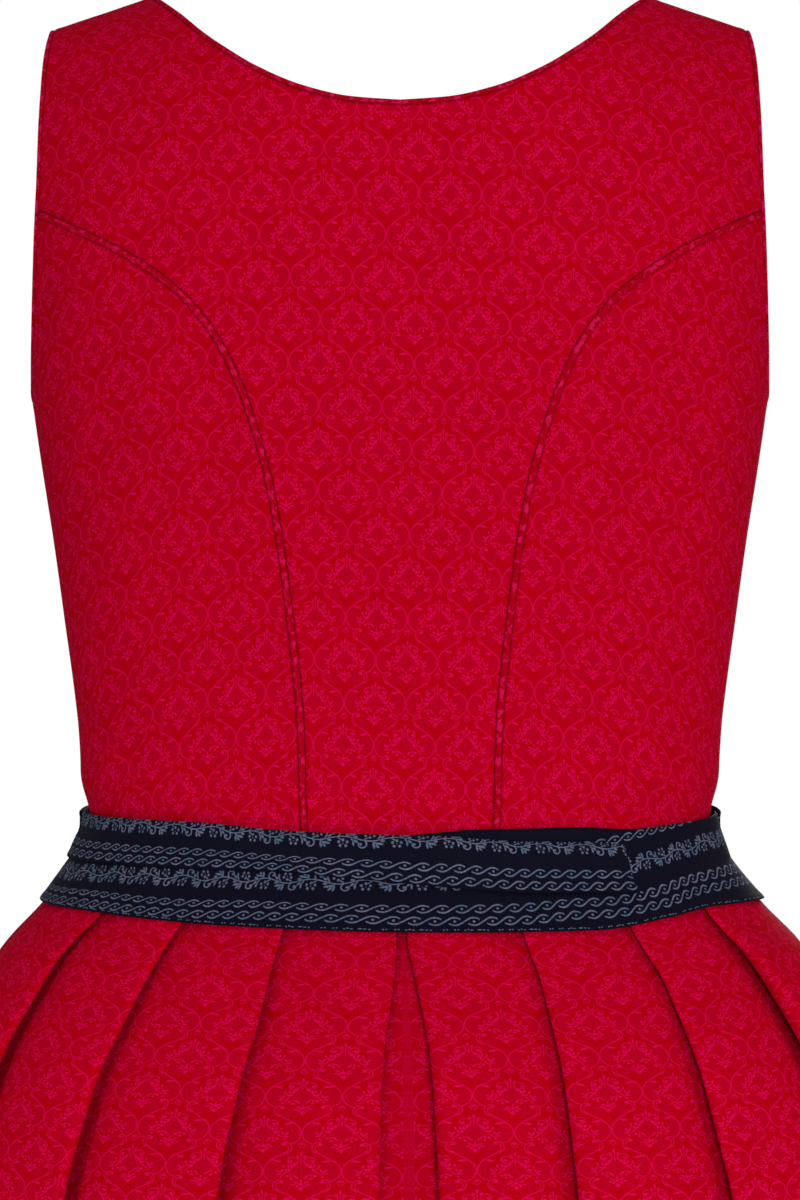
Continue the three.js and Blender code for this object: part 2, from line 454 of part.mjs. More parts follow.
// ---------------------------------------------------------------- buttons
{
  const profile = [[0, 0], [BUTTON_RADIUS * 0.86, 0], [BUTTON_RADIUS, BUTTON_HEIGHT * 0.35], [BUTTON_RADIUS * 0.7, BUTTON_HEIGHT * 0.82], [0, BUTTON_HEIGHT]];
  for (let k = 0; k < BUTTON_ROWS.count; k++) {
    const z = BUTTON_ROWS.first + (BUTTON_ROWS.last - BUTTON_ROWS.first) * k / (BUTTON_ROWS.count - 1);
    const at = atX(0, z), p = formPoint(FRONT, at.omega, at.v), n = formNormal(FRONT, at.omega, at.v);
    const g0 = new THREE.LatheGeometry(profile.map(([x, y]) => new THREE.Vector2(x, y)), 12);
    g0.deleteAttribute('normal'); g0.deleteAttribute('uv');
    const g = mergeVertices(g0, 1e-3); g.computeVertexNormals();
    const mesh = new THREE.Mesh(g, redCotton);
    mesh.name = `button_${k + 1}`;
    mesh.quaternion.setFromUnitVectors(new THREE.Vector3(0, 1, 0), n);
    mesh.position.copy(p.addScaledVector(n, OVERLAP_LIFT + BODICE_WALL / 2 + SEAM_GAP + 0.25));
    group.add(mesh);
  }
}

// ---------------------------------------------------------------- skirt
// theta: 0 centre behind, 90 wearer's left side, 180 centre front
function ringPoint(theta, z, off) {
  const at = (t) => {
    const s = Math.sin(t), c = roundness(s, z);
    return new THREE.Vector3(halfWidth(z) * s, (Math.cos(t) >= 0 ? backDepth(z) : -frontDepth(z)) * c, z);
  };
  const p = at(theta), d = at(theta + 2e-3).sub(at(theta - 2e-3)).normalize();
  return p.add(new THREE.Vector3(-d.y, d.x, 0).multiplyScalar(off));
}
function ringSpeed(theta, z) { return ringPoint(theta + 1e-3, z, 0).distanceTo(ringPoint(theta - 1e-3, z, 0)) / 2e-3; }
// Outline of one half at one height, from the left side round to the right side
function pleatedRow(pleats, row, front) {
  const angle = (p) => rad(p.waist + (p.hem - p.waist) * row.settle);
  const build = (hand) => {
    const list = pleats.filter((p) => p.side === hand).sort((a, b) => b.waist - a.waist);
    const pts = [];
    list.forEach((p, k) => {
      const e = angle(p), speed = ringSpeed(front ? Math.PI - e : e, row.z), u = row.underlap / speed, h = row.lift;
      if (k === 0) pts.push([Math.PI / 2, h * 0.6], [(Math.PI / 2 + e + u) / 2, h]);
      const mid = k === list.length - 1 ? null : (e + angle(list[k + 1])) / 2;
      pts.push([e, h], [e, 0], [e + u, 0], [e + u, -h]);
      if (mid !== null) pts.push([e - 3 / speed, -h], [mid, h * 0.7]);
    });
    return pts.map(([o, off]) => [o * hand, off]);
  };
  const all = [...build(1), ...build(-1).reverse()];
  const seam = half / ringSpeed(Math.PI / 2, row.z);
  all[0][0] -= seam; all[all.length - 1][0] += seam;
  return all.map(([o, off]) => ringPoint(front ? Math.PI - o : o, row.z, off));
}
function polylineWall(points, wall) { // level polyline to its two sides
  const normals = points.map((p, k) => {
    const seg = (a, b) => { const d = b.clone().sub(a).normalize(); return new THREE.Vector3(d.y, -d.x, 0); };
    const before = k > 0 ? seg(points[k - 1], p) : seg(p, points[k + 1]);
    const after = k < points.length - 1 ? seg(p, points[k + 1]) : before;
    const n = before.clone().add(after);
    const l = n.length();
    return l < 1e-6 ? before : n.multiplyScalar(Math.min(2 / (l * l), 1.3 / Math.max(l, 1e-6)));
  });
  return [1, -1].map((s) => points.map((p, k) => p.clone().addScaledVector(normals[k], s * wall / 2)));
}
for (const [name, pleats, front] of [['skirt_back', PLEATS_BACK, false], ['skirt_front', PLEATS_FRONT, true]]) {
  const outer = [], inner = [];
  for (const row of SKIRT_ROWS) {
    const [a, b] = polylineWall(pleatedRow(pleats, row, front), SKIRT_WALL);
    outer.push(a); inner.push(b);
  }
  addWall(name, outer, inner, redCotton);
}

// ---------------------------------------------------------------- apron
// Bands are straight between these heights, and what lies on them is made from the same points
const BAND_LEVELS = [BAND_TOP_Z, -388, -403, BAND_BOTTOM_Z];
function bandPoint(theta, z, off) {
  let k = 0; while (k < BAND_LEVELS.length - 2 && z < BAND_LEVELS[k + 1]) k++;
  const a = ringPoint(theta, BAND_LEVELS[k], off), b = ringPoint(theta, BAND_LEVELS[k + 1], off);
  return a.lerp(b, (z - BAND_LEVELS[k]) / (BAND_LEVELS[k + 1] - BAND_LEVELS[k]));
}
function addBand(name, thetas, heights, offset) {
  const grid = (o) => heights.map((height) => thetas.map((t) => bandPoint(t, height(t), offset + o)));
  addWall(name, grid(BAND_WALL / 2), grid(-BAND_WALL / 2), navyCotton);
}
const edgeOf = (table, key) => { const f = smooth(column(table, 'degrees'), column(table, key)); return (t) => f(THREE.MathUtils.radToDeg(t)); };
const level = BAND_LEVELS.map((z) => () => z);
const seamAngle = half / ringSpeed(Math.PI / 2, -400), BAND_STEPS = 24;
addBand('apron_waistband', steps(BAND_STEPS, Math.PI / 2 + seamAngle, 3 * Math.PI / 2 - seamAngle), level, BAND_OFFSET);
addBand('apron_tie_under', steps(BAND_STEPS, -Math.PI / 2 + seamAngle, Math.PI / 2 - seamAngle),
  [edgeOf(UNDER_TIE, 'top'), level[1], level[2], edgeOf(UNDER_TIE, 'bottom')], BAND_OFFSET);
{
  const first = rad(OVER_TIE[0].degrees), last = rad(OVER_TIE[OVER_TIE.length - 1].degrees), step = (Math.PI - 2 * seamAngle) / BAND_STEPS;
  const inside = steps(BAND_STEPS + 6, -Math.PI / 2 + seamAngle, Math.PI / 2 - seamAngle + 6 * step).filter((t) => t > first + 0.03 && t < last - 0.03);
  addBand('apron_tie_over', [first, ...inside, last], [edgeOf(OVER_TIE, 'top'), edgeOf(OVER_TIE, 'bottom')], OVER_OFFSET);
}
{
  const lift = smooth(column(SKIRT_ROWS, 'z'), column(SKIRT_ROWS, 'lift'));
  const columns = APRON_RIPPLES * 4;
  const rows = APRON_ROWS.map(({ z, ripple }) => steps(columns, -1, 1).map((f) => {
    const theta = Math.PI + rad(APRON_HALF_ANGLE) * f;
    const base = lift(z) + SKIRT_WALL / 2 + BAND_WALL / 2 + 1.4 + ripple;
    return [theta, z, base + ripple * Math.cos(Math.PI * 2 * APRON_RIPPLES * (f + 1) / 2)];
  }));
  const grid = (o) => rows.map((r) => r.map(([t, z, off]) => ringPoint(t, z, off + o)));
  addWall('apron_panel', grid(BAND_WALL / 2), grid(-BAND_WALL / 2), navyCotton);
}

export default group;
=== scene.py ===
# Looks of a sleeveless dirndl with its apron band: cloth shells, piping, pleats, print.
# Everything is worked out in millimetres and written to Blender in metres.
import math
import bpy
import numpy as np
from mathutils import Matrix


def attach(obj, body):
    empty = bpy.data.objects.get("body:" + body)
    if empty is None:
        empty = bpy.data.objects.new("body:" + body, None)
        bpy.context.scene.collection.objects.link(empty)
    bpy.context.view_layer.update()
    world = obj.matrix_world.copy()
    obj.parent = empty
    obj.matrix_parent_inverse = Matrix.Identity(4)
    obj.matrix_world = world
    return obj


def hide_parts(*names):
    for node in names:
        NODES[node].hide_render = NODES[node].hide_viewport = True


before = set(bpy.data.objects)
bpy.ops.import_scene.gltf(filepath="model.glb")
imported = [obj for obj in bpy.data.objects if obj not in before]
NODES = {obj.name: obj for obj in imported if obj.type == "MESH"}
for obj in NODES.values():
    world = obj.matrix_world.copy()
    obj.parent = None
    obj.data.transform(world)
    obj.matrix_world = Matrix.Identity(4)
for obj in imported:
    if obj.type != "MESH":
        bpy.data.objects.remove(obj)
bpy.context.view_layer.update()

# ------------------------------------------------------------------ sizes, as in the CAD
SEAM_GAP = 0.3
BODICE_WALL = 1.2
ROLL = 85.0
RIDGE_HALF = 186.0
NECK_POINT_X = 114.0
SIDE_TOP_Z = -187.0
WAIST_Z = -384.0
HEM_Z = -1058.0
BAND_TOP_Z, BAND_BOTTOM_Z = -380.0, -422.0
BAND_OFFSET, OVER_OFFSET = 4.8, 6.25
APRON_HEM_Z = -1006.0
APRON_HALF_ANGLE = 62.0
OVERLAP_HALF = 9.0
OVERLAP_LIFT = 1.9
EDGE_CORD_RADIUS = 1.0
BUTTON_RADIUS, BUTTON_HEIGHT = 5.5, 3.0
BUTTON_ROWS = dict(count=7, first=-183.0, last=-366.0)
BUST = dict(x=82.0, z=-188.0, rise=12.0, wide=42.0, tall=48.0)

FORM = [  # z, half width, back, front, power
    (60, 187, 84, 76, 2.40), (0, 186, 88, 82, 2.40), (-50, 184, 93, 92, 2.40),
    (-90, 181, 97, 102, 2.40), (-130, 177.3, 98.5, 112, 2.35), (-160, 174.3, 98, 118, 2.30),
    (-187, 171.8, 97, 120, 2.28), (-215, 168.0, 95, 119, 2.26), (-253, 162.2, 91.5, 113, 2.25),
    (-290, 157.2, 88.5, 107, 2.25), (-328, 152.2, 87, 102.5, 2.25), (-360, 149.2, 86, 100, 2.25),
    (-384, 145.5, 86, 98.5, 2.25), (-403, 151, 92.5, 102, 2.22), (-422, 165, 107, 113, 2.20),
    (-445, 184, 126, 128, 2.16), (-490, 212, 155, 150, 2.12), (-580, 239, 187, 174, 2.08),
    (-760, 270, 218, 202, 2.05), (-1058, 314, 262, 246, 2.02),
]
# degrees round from the centre of that side, height
ARMHOLE_BACK = [(61.7, -15.5), (63.0, -28), (64.2, -48), (66.8, -84), (69.9, -110),
                (73.5, -135), (78.6, -161), (84.0, -180), (90.0, SIDE_TOP_Z)]
ARMHOLE_FRONT = [(61.7, -15.5), (61.2, -28), (60.8, -48), (62.0, -84), (65.0, -110),
                 (69.6, -135), (76.0, -161), (82.6, -180), (90.0, SIDE_TOP_Z)]
# distance from the centre, height
NECK_BACK = [(114, 0.9), (101, -8.7), (88.6, -19), (77, -27), (65.8, -33.8), (43.5, -43.4),
             (21.8, -48.4), (0, -50)]
NECK_FRONT = [(114, 0.9), (110.5, -30), (107, -62), (101, -94), (90, -121), (70, -144),
              (40, -158.5), (0, -164)]
PRINCESS_BACK = [(147, -108.5), (121, -121.5), (95.4, -141.2), (79, -164.3), (67.4, -193),
                 (57.8, -230), (50, -284), (45.2, -335), (43.7, WAIST_Z)]
PRINCESS_FRONT = [(141, -116), (116, -139), (98, -164), (86, -190), (76, -228), (64, -280),
                  (55, -332), (50, WAIST_Z)]
PRINCESS_START_Z = dict(back=-100.0, front=-101.0)

# Pleats: side, fold edge in degrees at the waist and at the hem, where its print starts (mm),
# how far it stands off more than the others
PLEATS_BACK = [
    (1, 0.7, 3.4, 0.0, 0.0), (1, 17.4, 21.1, 9.0, 0.0), (1, 35.3, 41.5, 21.0, 0.1), (1, 55.5, 62.2, 4.0, 0.15),
    (-1, 1.1, 5.7, 0.0, 0.0), (-1, 19.2, 20.3, 17.0, 0.1), (-1, 38.3, 40.2, 5.0, 0.1), (-1, 58.3, 62.3, 26.0, 1.0),
]
# Where the back's fold edges run just below the band: height, degrees. They settle to the hem's angles below this.
FOLDS_BACK = {
    (1, 55.5): [(-423, 56.3), (-434, 58.3), (-446, 59.0), (-462, 59.0), (-480, 59.2)],
    (1, 35.3): [(-423, 36.8), (-436, 37.5), (-449, 38.0), (-472, 38.8), (-489, 39.5), (-506, 39.9), (-541, 40.5)],
    (1, 17.4): [(-427, 18.6), (-443, 18.7), (-464, 18.8), (-480, 19.4), (-502, 20.0), (-518, 20.4), (-536, 20.6)],
    (1, 0.7): [(-425, 0.75), (-441, 0.9), (-457, 1.5), (-474, 2.1), (-491, 2.3), (-512, 2.35), (-535, 2.4)],
    (-1, 1.1): [(-429, 1.3), (-444, 2.3), (-458, 3.1), (-474, 3.8), (-491, 4.1), (-512, 4.3), (-535, 4.4)],
    (-1, 19.2): [(-431, 19.5), (-443, 20.0), (-460, 20.15), (-491, 20.2), (-537, 20.2)],
    (-1, 38.3): [(-433, 38.9), (-449, 39.7), (-480, 39.6), (-511, 39.7), (-541, 40.0)],
    (-1, 58.3): [(-427, 58.8), (-440, 60.0), (-455, 60.9), (-470, 61.1), (-485, 61.1)],
}
PLEATS_FRONT = [
    (1, 1.4, 4.0, 0.0, 0.0), (1, 18.5, 21.5, 11.0, 0.0), (1, 36.0, 40.5, 23.0, 0.0),
    (1, 54.0, 59.5, 7.0, 0.1), (1, 72.5, 77.0, 15.0, 0.2),
    (-1, 1.2, 4.4, 0.0, 0.0), (-1, 18.0, 20.8, 14.0, 0.0), (-1, 35.5, 41.0, 2.0, 0.0),
    (-1, 53.5, 60.0, 19.0, 0.2), (-1, 72.0, 77.5, 8.0, 0.1),
]
SKIRT_ROWS = [  # z, settle, underlap, lift
    (-384.3, 0.0, 24, 1.6), (-403, 0.06, 23, 2.1), (-422, 0.15, 22, 2.5), (-445, 0.33, 21, 3.6),
    (-490, 0.60, 20, 5.2), (-580, 0.85, 18, 6.6), (-760, 0.95, 15, 7.6), (HEM_Z, 1.0, 12, 9.0),
]
UNDER_TIE = [  # degrees round from the centre behind, top, bottom
    (-90, -380.6, -421.6), (-71, -381.2, -419.2), (-60, -381.6, -418.8), (-46.9, -382.6, -421.7), (-31.4, -380.7, -425.3),
    (-14, -380.8, -425.1), (0, -383.4, -424.8), (14, -382.6, -424.0), (31.4, -380.2, -422.8), (46.9, -378.8, -421.5),
    (60, -379.8, -420.6), (90, -380, -421.6),
]
OVER_TIE = [
    (-43, -388.9, -410.5), (-30, -386.8, -409.2), (-20, -385.9, -408.6), (-8.6, -383.5, -406), (9.8, -382.4, -401.8),
    (22.7, -381.1, -399.6), (39.8, -378.6, -399.6), (56.8, -378.8, -399.7), (75, -379.6, -400.4), (102, -380, -403.5),
]

# ------------------------------------------------------------------ curves
def smooth(xs, ys):
    """A smooth curve through the rows of a table, which doesn't overshoot."""
    X, Y = np.array(xs, float), np.array(ys, float)
    if X[-1] < X[0]:
        X, Y = X[::-1], Y[::-1]
    h, d = np.diff(X), np.diff(Y) / np.diff(X)
    m = np.empty_like(Y)
    m[0], m[-1] = d[0], d[-1]
    for k in range(1, len(X) - 1):
        if d[k - 1] * d[k] <= 0:
            m[k] = 0
        else:
            w1, w2 = 2 * h[k] + h[k - 1], h[k] + 2 * h[k - 1]
            m[k] = (w1 + w2) / (w1 / d[k - 1] + w2 / d[k])

    def f(x):
        x = np.asarray(x, float)
        k = np.clip(np.searchsorted(X, x) - 1, 0, len(X) - 2)
        t = (x - X[k]) / h[k]
        t2, t3 = t * t, t * t * t
        y = ((2 * t3 - 3 * t2 + 1) * Y[k] + (t3 - 2 * t2 + t) * h[k] * m[k]
             + (-2 * t3 + 3 * t2) * Y[k + 1] + (t3 - t2) * h[k] * m[k + 1])
        y = np.where(x <= X[0], Y[0] + m[0] * (x - X[0]), y)
        return np.where(x >= X[-1], Y[-1] + m[-1] * (x - X[-1]), y)
    return f


def column(rows, k):
    return [r[k] for r in rows]


def smoothstep(x, a, b):
    t = np.clip((np.asarray(x, float) - a) / (b - a), 0, 1)
    return t * t * (3 - 2 * t)


half_width, back_depth, front_depth, power = (smooth(column(FORM, 0), column(FORM, k)) for k in (1, 2, 3, 4))
BACK, FRONT = 1, -1


def ridge(x):
    return 0.5 + 0.33 * (116 - x)


def roundness(s, z):
    n = power(z)
    return np.maximum(0, 1 - np.abs(s) ** n) ** (1 / n)


def form_point(side, om, v):
    om, v = np.asarray(om, float), np.asarray(v, float)
    s = np.sin(om)
    phi = np.minimum(v / ROLL, 1) * math.pi / 2
    drop = np.where(v < ROLL, ROLL * (1 - np.cos(phi)), ROLL + (v - ROLL) * math.pi / 2)
    roll = np.where(v < ROLL, np.sin(phi), 1.0)
    z = ridge(RIDGE_HALF * np.abs(s)) - drop
    x, c = half_width(z) * s, roundness(s, z)
    if side == BACK:
        y = back_depth(z) * c * roll
    else:
        bust = BUST["rise"] * c * np.exp(-((np.abs(x) - BUST["x"]) / BUST["wide"]) ** 2 - ((z - BUST["z"]) / BUST["tall"]) ** 2)
        y = -(front_depth(z) * c + bust) * roll
    return np.stack([x, y, z], -1)


def unit(a):
    return a / np.maximum(np.linalg.norm(a, axis=-1, keepdims=True), 1e-12)


def form_normal(side, om, v):
    om, v = np.asarray(om, float), np.asarray(v, float)
    e, w = 1e-3, 0.05
    du = form_point(side, np.minimum(om + e, math.pi / 2), v) - form_point(side, np.maximum(om - e, -math.pi / 2), v)
    dv = form_point(side, om, v + w) - form_point(side, om, np.maximum(v - w, 0))
    n, p = unit(np.cross(du, dv)), form_point(side, om, v)
    out = np.stack([p[..., 0], p[..., 1], np.where(v < ROLL, 60.0, 0.0)], -1)
    return np.where((n * out).sum(-1, keepdims=True) < 0, -n, n)


def drop_to_v(drop):
    drop = np.asarray(drop, float)
    return np.where(drop < ROLL, ROLL * np.arccos(np.clip(1 - np.maximum(drop, 0) / ROLL, -1, 1)) * 2 / math.pi,
                    ROLL + (drop - ROLL) * 2 / math.pi)


def at_angle(om, z):
    om = np.asarray(om, float)
    return np.stack([om, drop_to_v(ridge(RIDGE_HALF * np.abs(np.sin(om))) - z)], -1)


def at_x(x, z):
    return at_angle(np.arcsin(np.clip(x / half_width(z), -1, 1)), z)


def table_curve(rows, scale_x):
    R = np.array(rows, float)
    L = np.r_[0, np.cumsum(np.hypot(np.diff(R[:, 0]) * scale_x, np.diff(R[:, 1])))]
    fx, fy = smooth(L / L[-1], R[:, 0]), smooth(L / L[-1], R[:, 1])
    return lambda t: (fx(t), fy(t))


def bisect(test):
    lo, hi = 0.0, 1.0
    for _ in range(50):
        m = (lo + hi) / 2
        if test(m):
            lo = m
        else:
            hi = m
    return lo


class SideCurves:
    """The edges of one side of the bodice, for the wearer's left half."""

    def __init__(self, armhole, neck, princess, start_z):
        arm_deg = smooth(column(armhole, 1), column(armhole, 0))
        self.arm = table_curve(armhole, 3)
        start_x = float(half_width(start_z) * math.sin(math.radians(arm_deg(start_z))))
        rows = [(start_x, start_z)] + list(princess)
        self.prin = table_curve(rows, 1)
        self.neck_curve = table_curve(neck, 1)
        length = sum(math.hypot(b[0] - a[0], b[1] - a[1]) for a, b in zip(rows, rows[1:]))
        self.seam_start = (2 * EDGE_CORD_RADIUS + SEAM_GAP + 0.4) / length
        self.lo = bisect(lambda m: self.arm(m)[1] > start_z)
        self.outer = armhole[0][0]
        self.inner = math.degrees(math.asin(NECK_POINT_X / float(half_width(0.9))))

    def shoulder(self, t):
        om = np.radians(self.outer + (self.inner - self.outer) * t)
        return np.stack([om, np.zeros_like(om)], -1)

    def neck(self, t, end=1.0):
        x, z = self.neck_curve(t * end)
        p = at_x(x, z)
        p[t == 0] = (math.radians(self.inner), 0)
        return p

    def arm_upper(self, t):
        d, z = self.arm(t * self.lo)
        p = at_angle(np.radians(d), z)
        p[t == 0] = (math.radians(self.outer), 0)
        return p

    def arm_lower(self, t):
        d, z = self.arm(self.lo + t * (1 - self.lo))
        return at_angle(np.radians(d), z)

    def princess(self, t):
        return at_x(*self.prin(self.seam_start + t * (1 - self.seam_start)))

    def neck_at_x(self, x):
        return bisect(lambda m: self.neck_curve(m)[0] > x)


BACK_CURVES = SideCurves(ARMHOLE_BACK, NECK_BACK, PRINCESS_BACK, PRINCESS_START_Z["back"])
FRONT_CURVES = SideCurves(ARMHOLE_FRONT, NECK_FRONT, PRINCESS_FRONT, PRINCESS_START_Z["front"])


def crowd(n, both=True, keep=0.3):
    """n+1 fractions from 0 to 1, closer together at the ends, or at the start only."""
    t = np.linspace(0, 1, n + 1)
    if both:
        return keep * t + (1 - keep) * (0.5 - 0.5 * np.cos(math.pi * t))
    return keep * t + (1 - keep) * (1 - np.cos(math.pi * t / 2))


def along(curve_a, curve_b, side, fractions):
    """Two edge curves end to end, resampled at fractions of their length on the form."""
    t = np.linspace(0, 1, 400)
    P = np.concatenate([curve_a(t), curve_b(t)[1:]]) if curve_b is not None else curve_a(t)
    Q = form_point(side, P[:, 0], P[:, 1])
    L = np.r_[0, np.cumsum(np.linalg.norm(np.diff(Q, axis=0), axis=1))]
    L /= L[-1]
    return np.stack([np.interp(fractions, L, P[:, k]) for k in (0, 1)], -1), L


def mirrored(p):
    return p * np.array([-1.0, 1.0])


def waist_at(om):
    return at_angle(om, WAIST_Z)


FADE = 2.5


def patch(top, bottom, left, right, us, ts):
    """Rows straight across; the bend of the top and bottom edges dies away from them."""
    u, t = us[None, :, None], ts[:, None, None]
    return ((1 - u) * left[:, None] + u * right[:, None]
            + (1 - t) ** FADE * (top[None] - ((1 - u) * top[0] + u * top[-1]))
            + t ** FADE * (bottom[None] - ((1 - u) * bottom[0] + u * bottom[-1])))


def heights_fraction(pts, side, bend=1.0):
    z = form_point(side, pts[:, 0], pts[:, 1])[:, 2]
    return ((z - z[0]) / (z[-1] - z[0])) ** bend


# ------------------------------------------------------------------ meshes
def new_object(name, verts, faces, uv=None, floats=None, mats=(), sharp=38.0):
    """verts in mm; uv per vertex in metres; floats: per-vertex numbers for the material."""
    me = bpy.data.meshes.new(name)
    V = np.asarray(verts, float) * 0.001
    F = np.asarray(faces)
    me.vertices.add(len(V))
    me.vertices.foreach_set("co", V.ravel())
    n = F.shape[1]
    me.loops.add(F.size)
    me.loops.foreach_set("vertex_index", F.ravel())
    me.polygons.add(len(F))
    me.polygons.foreach_set("loop_start", np.arange(0, F.size, n))
    me.polygons.foreach_set("loop_total", np.full(len(F), n))
    me.update(calc_edges=True)
    me.validate()
    me.polygons.foreach_set("use_smooth", np.ones(len(F), bool))
    if uv is not None:
        layer = me.uv_layers.new(name="cloth")
        layer.uv.foreach_set("vector", np.asarray(uv, float)[F.ravel()].ravel())
    for key, values in (floats or {}).items():
        a = me.attributes.new(key, "FLOAT", "POINT")
        a.data.foreach_set("value", np.asarray(values, float))
    me.set_sharp_from_angle(angle=math.radians(sharp))
    for m in mats:
        me.materials.append(m)
    o = bpy.data.objects.new(name, me)
    bpy.context.scene.collection.objects.link(o)
    return o


def oriented(V, F):
    """Faces turned so that a closed mesh's volume is positive."""
    a, b, c = V[F[:, 0]], V[F[:, 1]], V[F[:, 2]]
    vol = (a * np.cross(b, c)).sum()
    if F.shape[1] == 4:
        d = V[F[:, 3]]
        vol += (a * np.cross(c, d)).sum()
    return F if vol > 0 else F[:, ::-1]


BEHIND = ("cloth_back_center", "cloth_side_back_left", "cloth_side_back_right", "cloth_skirt_back", "cloth_apron_tie_under")
BEFORE = ("cloth_center_front_left", "cloth_center_front_right", "cloth_side_front_left", "cloth_side_front_right",
          "cloth_skirt_front", "cloth_apron_waistband")


def sewn(name, P):
    """Front and back are sewn together at the sides and shoulders: no light shows between them."""
    half = 1.0 if name in BEHIND else -1.0 if name in BEFORE else 0.0
    draw = 0.46 if name.startswith("cloth_side_") else 0.25
    Q = np.array(P, float)
    Q[..., 1] -= half * draw * np.exp(-np.maximum(Q[..., 1] * half, 0) / 1.3)
    return Q


def wall(name, outer, inner, uv, floats, mats, sharp=38.0):
    """Two matching grids, outside and inside, closed round their edge."""
    outer, inner = sewn(name, outer), sewn(name, inner)
    R, C, _ = outer.shape
    V = np.concatenate([outer.reshape(-1, 3), inner.reshape(-1, 3)])
    idx = np.arange(R * C).reshape(R, C)
    a, b, c, d = idx[:-1, :-1].ravel(), idx[:-1, 1:].ravel(), idx[1:, 1:].ravel(), idx[1:, :-1].ravel()
    q = [np.stack([a, b, c, d], 1), np.stack([d, c, b, a], 1) + R * C]
    ring = np.concatenate([idx[0, :], idx[1:, -1], idx[-1, -2::-1], idx[-2:0:-1, 0]])
    nxt = np.roll(ring, -1)
    q.append(np.stack([nxt, ring, ring + R * C, nxt + R * C], 1))
    F = oriented(V, np.concatenate(q))
    UV = np.tile(uv.reshape(-1, 2), (2, 1))
    fl = {k: np.tile(v.ravel(), 2) for k, v in floats.items()}
    fl["inside"] = np.repeat([0.0, 1.0], R * C)
    return new_object(name, V, F, UV, fl, mats, sharp)


def nearest(P, line, chunk=4000):
    """Distance of each point to a run of points, taken as straight stretches."""
    P, A, B = P.reshape(-1, 3), line[:-1], line[1:]
    D = B - A
    L2 = np.maximum((D * D).sum(1), 1e-9)
    out = np.empty(len(P))
    for s in range(0, len(P), chunk):
        W = P[s:s + chunk, None, :] - A[None]
        t = np.clip((W * D[None]).sum(-1) / L2, 0, 1)
        W -= t[..., None] * D[None]
        out[s:s + chunk] = np.sqrt((W * W).sum(-1).min(1))
    return out


def tube(name, points, radius, mats, sides=14, uv_turn=1.0, flat=1.0, closed=False, bumps=0.0, ends=True):
    """A cord along points; its section is round; flat is not used."""
    P = np.asarray(points, float)
    n = len(P)
    T = unit(np.gradient(P, axis=0))
    if closed:
        T = unit(np.roll(P, -1, 0) - np.roll(P, 1, 0))
    ref = np.array([0.0, 0.0, 1.0])
    N = np.empty_like(P)
    a = np.cross(T[0], ref)
    N[0] = unit(a if np.linalg.norm(a) > 1e-3 else np.cross(T[0], [1.0, 0, 0]))
    for k in range(1, n):
        v = N[k - 1] - T[k] * (N[k - 1] @ T[k])
        N[k] = v / np.linalg.norm(v)
    B = np.cross(T, N)
    L = np.r_[0, np.cumsum(np.linalg.norm(np.diff(P, axis=0), axis=1))]
    ang = np.linspace(0, 2 * math.pi, sides, endpoint=False)
    r = radius * (1 + bumps * np.sin(L * 2 * math.pi / 7.3) * np.sin(L * 2 * math.pi / 19.1 + 1.0))
    V = P[:, None] + r[:, None, None] * (np.cos(ang)[None, :, None] * N[:, None] + np.sin(ang)[None, :, None] * B[:, None])
    UV = np.stack(np.broadcast_arrays(ang[None, :] / (2 * math.pi) * 2 * math.pi * radius * uv_turn, L[:, None]), -1) * 0.001
    idx = np.arange(n * sides).reshape(n, sides)
    a, b = idx[:-1], np.roll(idx, -1, 1)[:-1]
    c, d = np.roll(idx, -1, 1)[1:], idx[1:]
    F = np.stack([a.ravel(), b.ravel(), c.ravel(), d.ravel()], 1)
    V, UV = V.reshape(-1, 3), UV.reshape(-1, 2)
    # rounded ends
    caps = []
    for end, sign in ((0, -1), (n - 1, 1)):
        prev = idx[end]
        for k, (out, rr) in enumerate(((0.5, 0.85), (0.85, 0.5))):
            ringv = P[end] + sign * T[end] * radius * out + rr * radius * (np.cos(ang)[:, None] * N[end] + np.sin(ang)[:, None] * B[end])
            start = len(V)
            V = np.concatenate([V, ringv]); UV = np.concatenate([UV, UV[idx[end]]])
            cur = np.arange(start, start + sides)
            caps.append(np.stack([prev, np.roll(prev, -1), np.roll(cur, -1), cur], 1))
            prev = cur
        tip = len(V)
        V = np.concatenate([V, [P[end] + sign * T[end] * radius]]); UV = np.concatenate([UV, UV[idx[end][:1]]])
        caps.append(np.stack([prev, np.roll(prev, -1), np.full(sides, tip), np.full(sides, tip)], 1))
    caps_q = np.concatenate(caps)
    # make every face point the same way as the tube's own
    Fall = []
    mid0, midn = P[0], P[-1]
    for f in np.concatenate([F, caps_q]):
        Fall.append(f)
    Fall = np.array(Fall)
    tri = Fall[:, 2] == Fall[:, 3]
    me_faces = [list(f[:3]) if t else list(f) for f, t in zip(Fall, tri)]
    me = bpy.data.meshes.new(name)
    me.from_pydata((V * 0.001).tolist(), [], me_faces)
    import bmesh
    bm = bmesh.new(); bm.from_mesh(me)
    bmesh.ops.recalc_face_normals(bm, faces=bm.faces)
    lay = bm.loops.layers.uv.new("cloth")
    for f in bm.faces:
        f.smooth = True
        for lp in f.loops:
            lp[lay].uv = UV[lp.vert.index]
    bm.to_mesh(me); bm.free()
    for m in mats:
        me.materials.append(m)
    o = bpy.data.objects.new(name, me)
    bpy.context.scene.collection.objects.link(o)
    return o


def finish_piece(o, nodes):
    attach(o, "root")
    if nodes:
        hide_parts(*nodes)
    return o


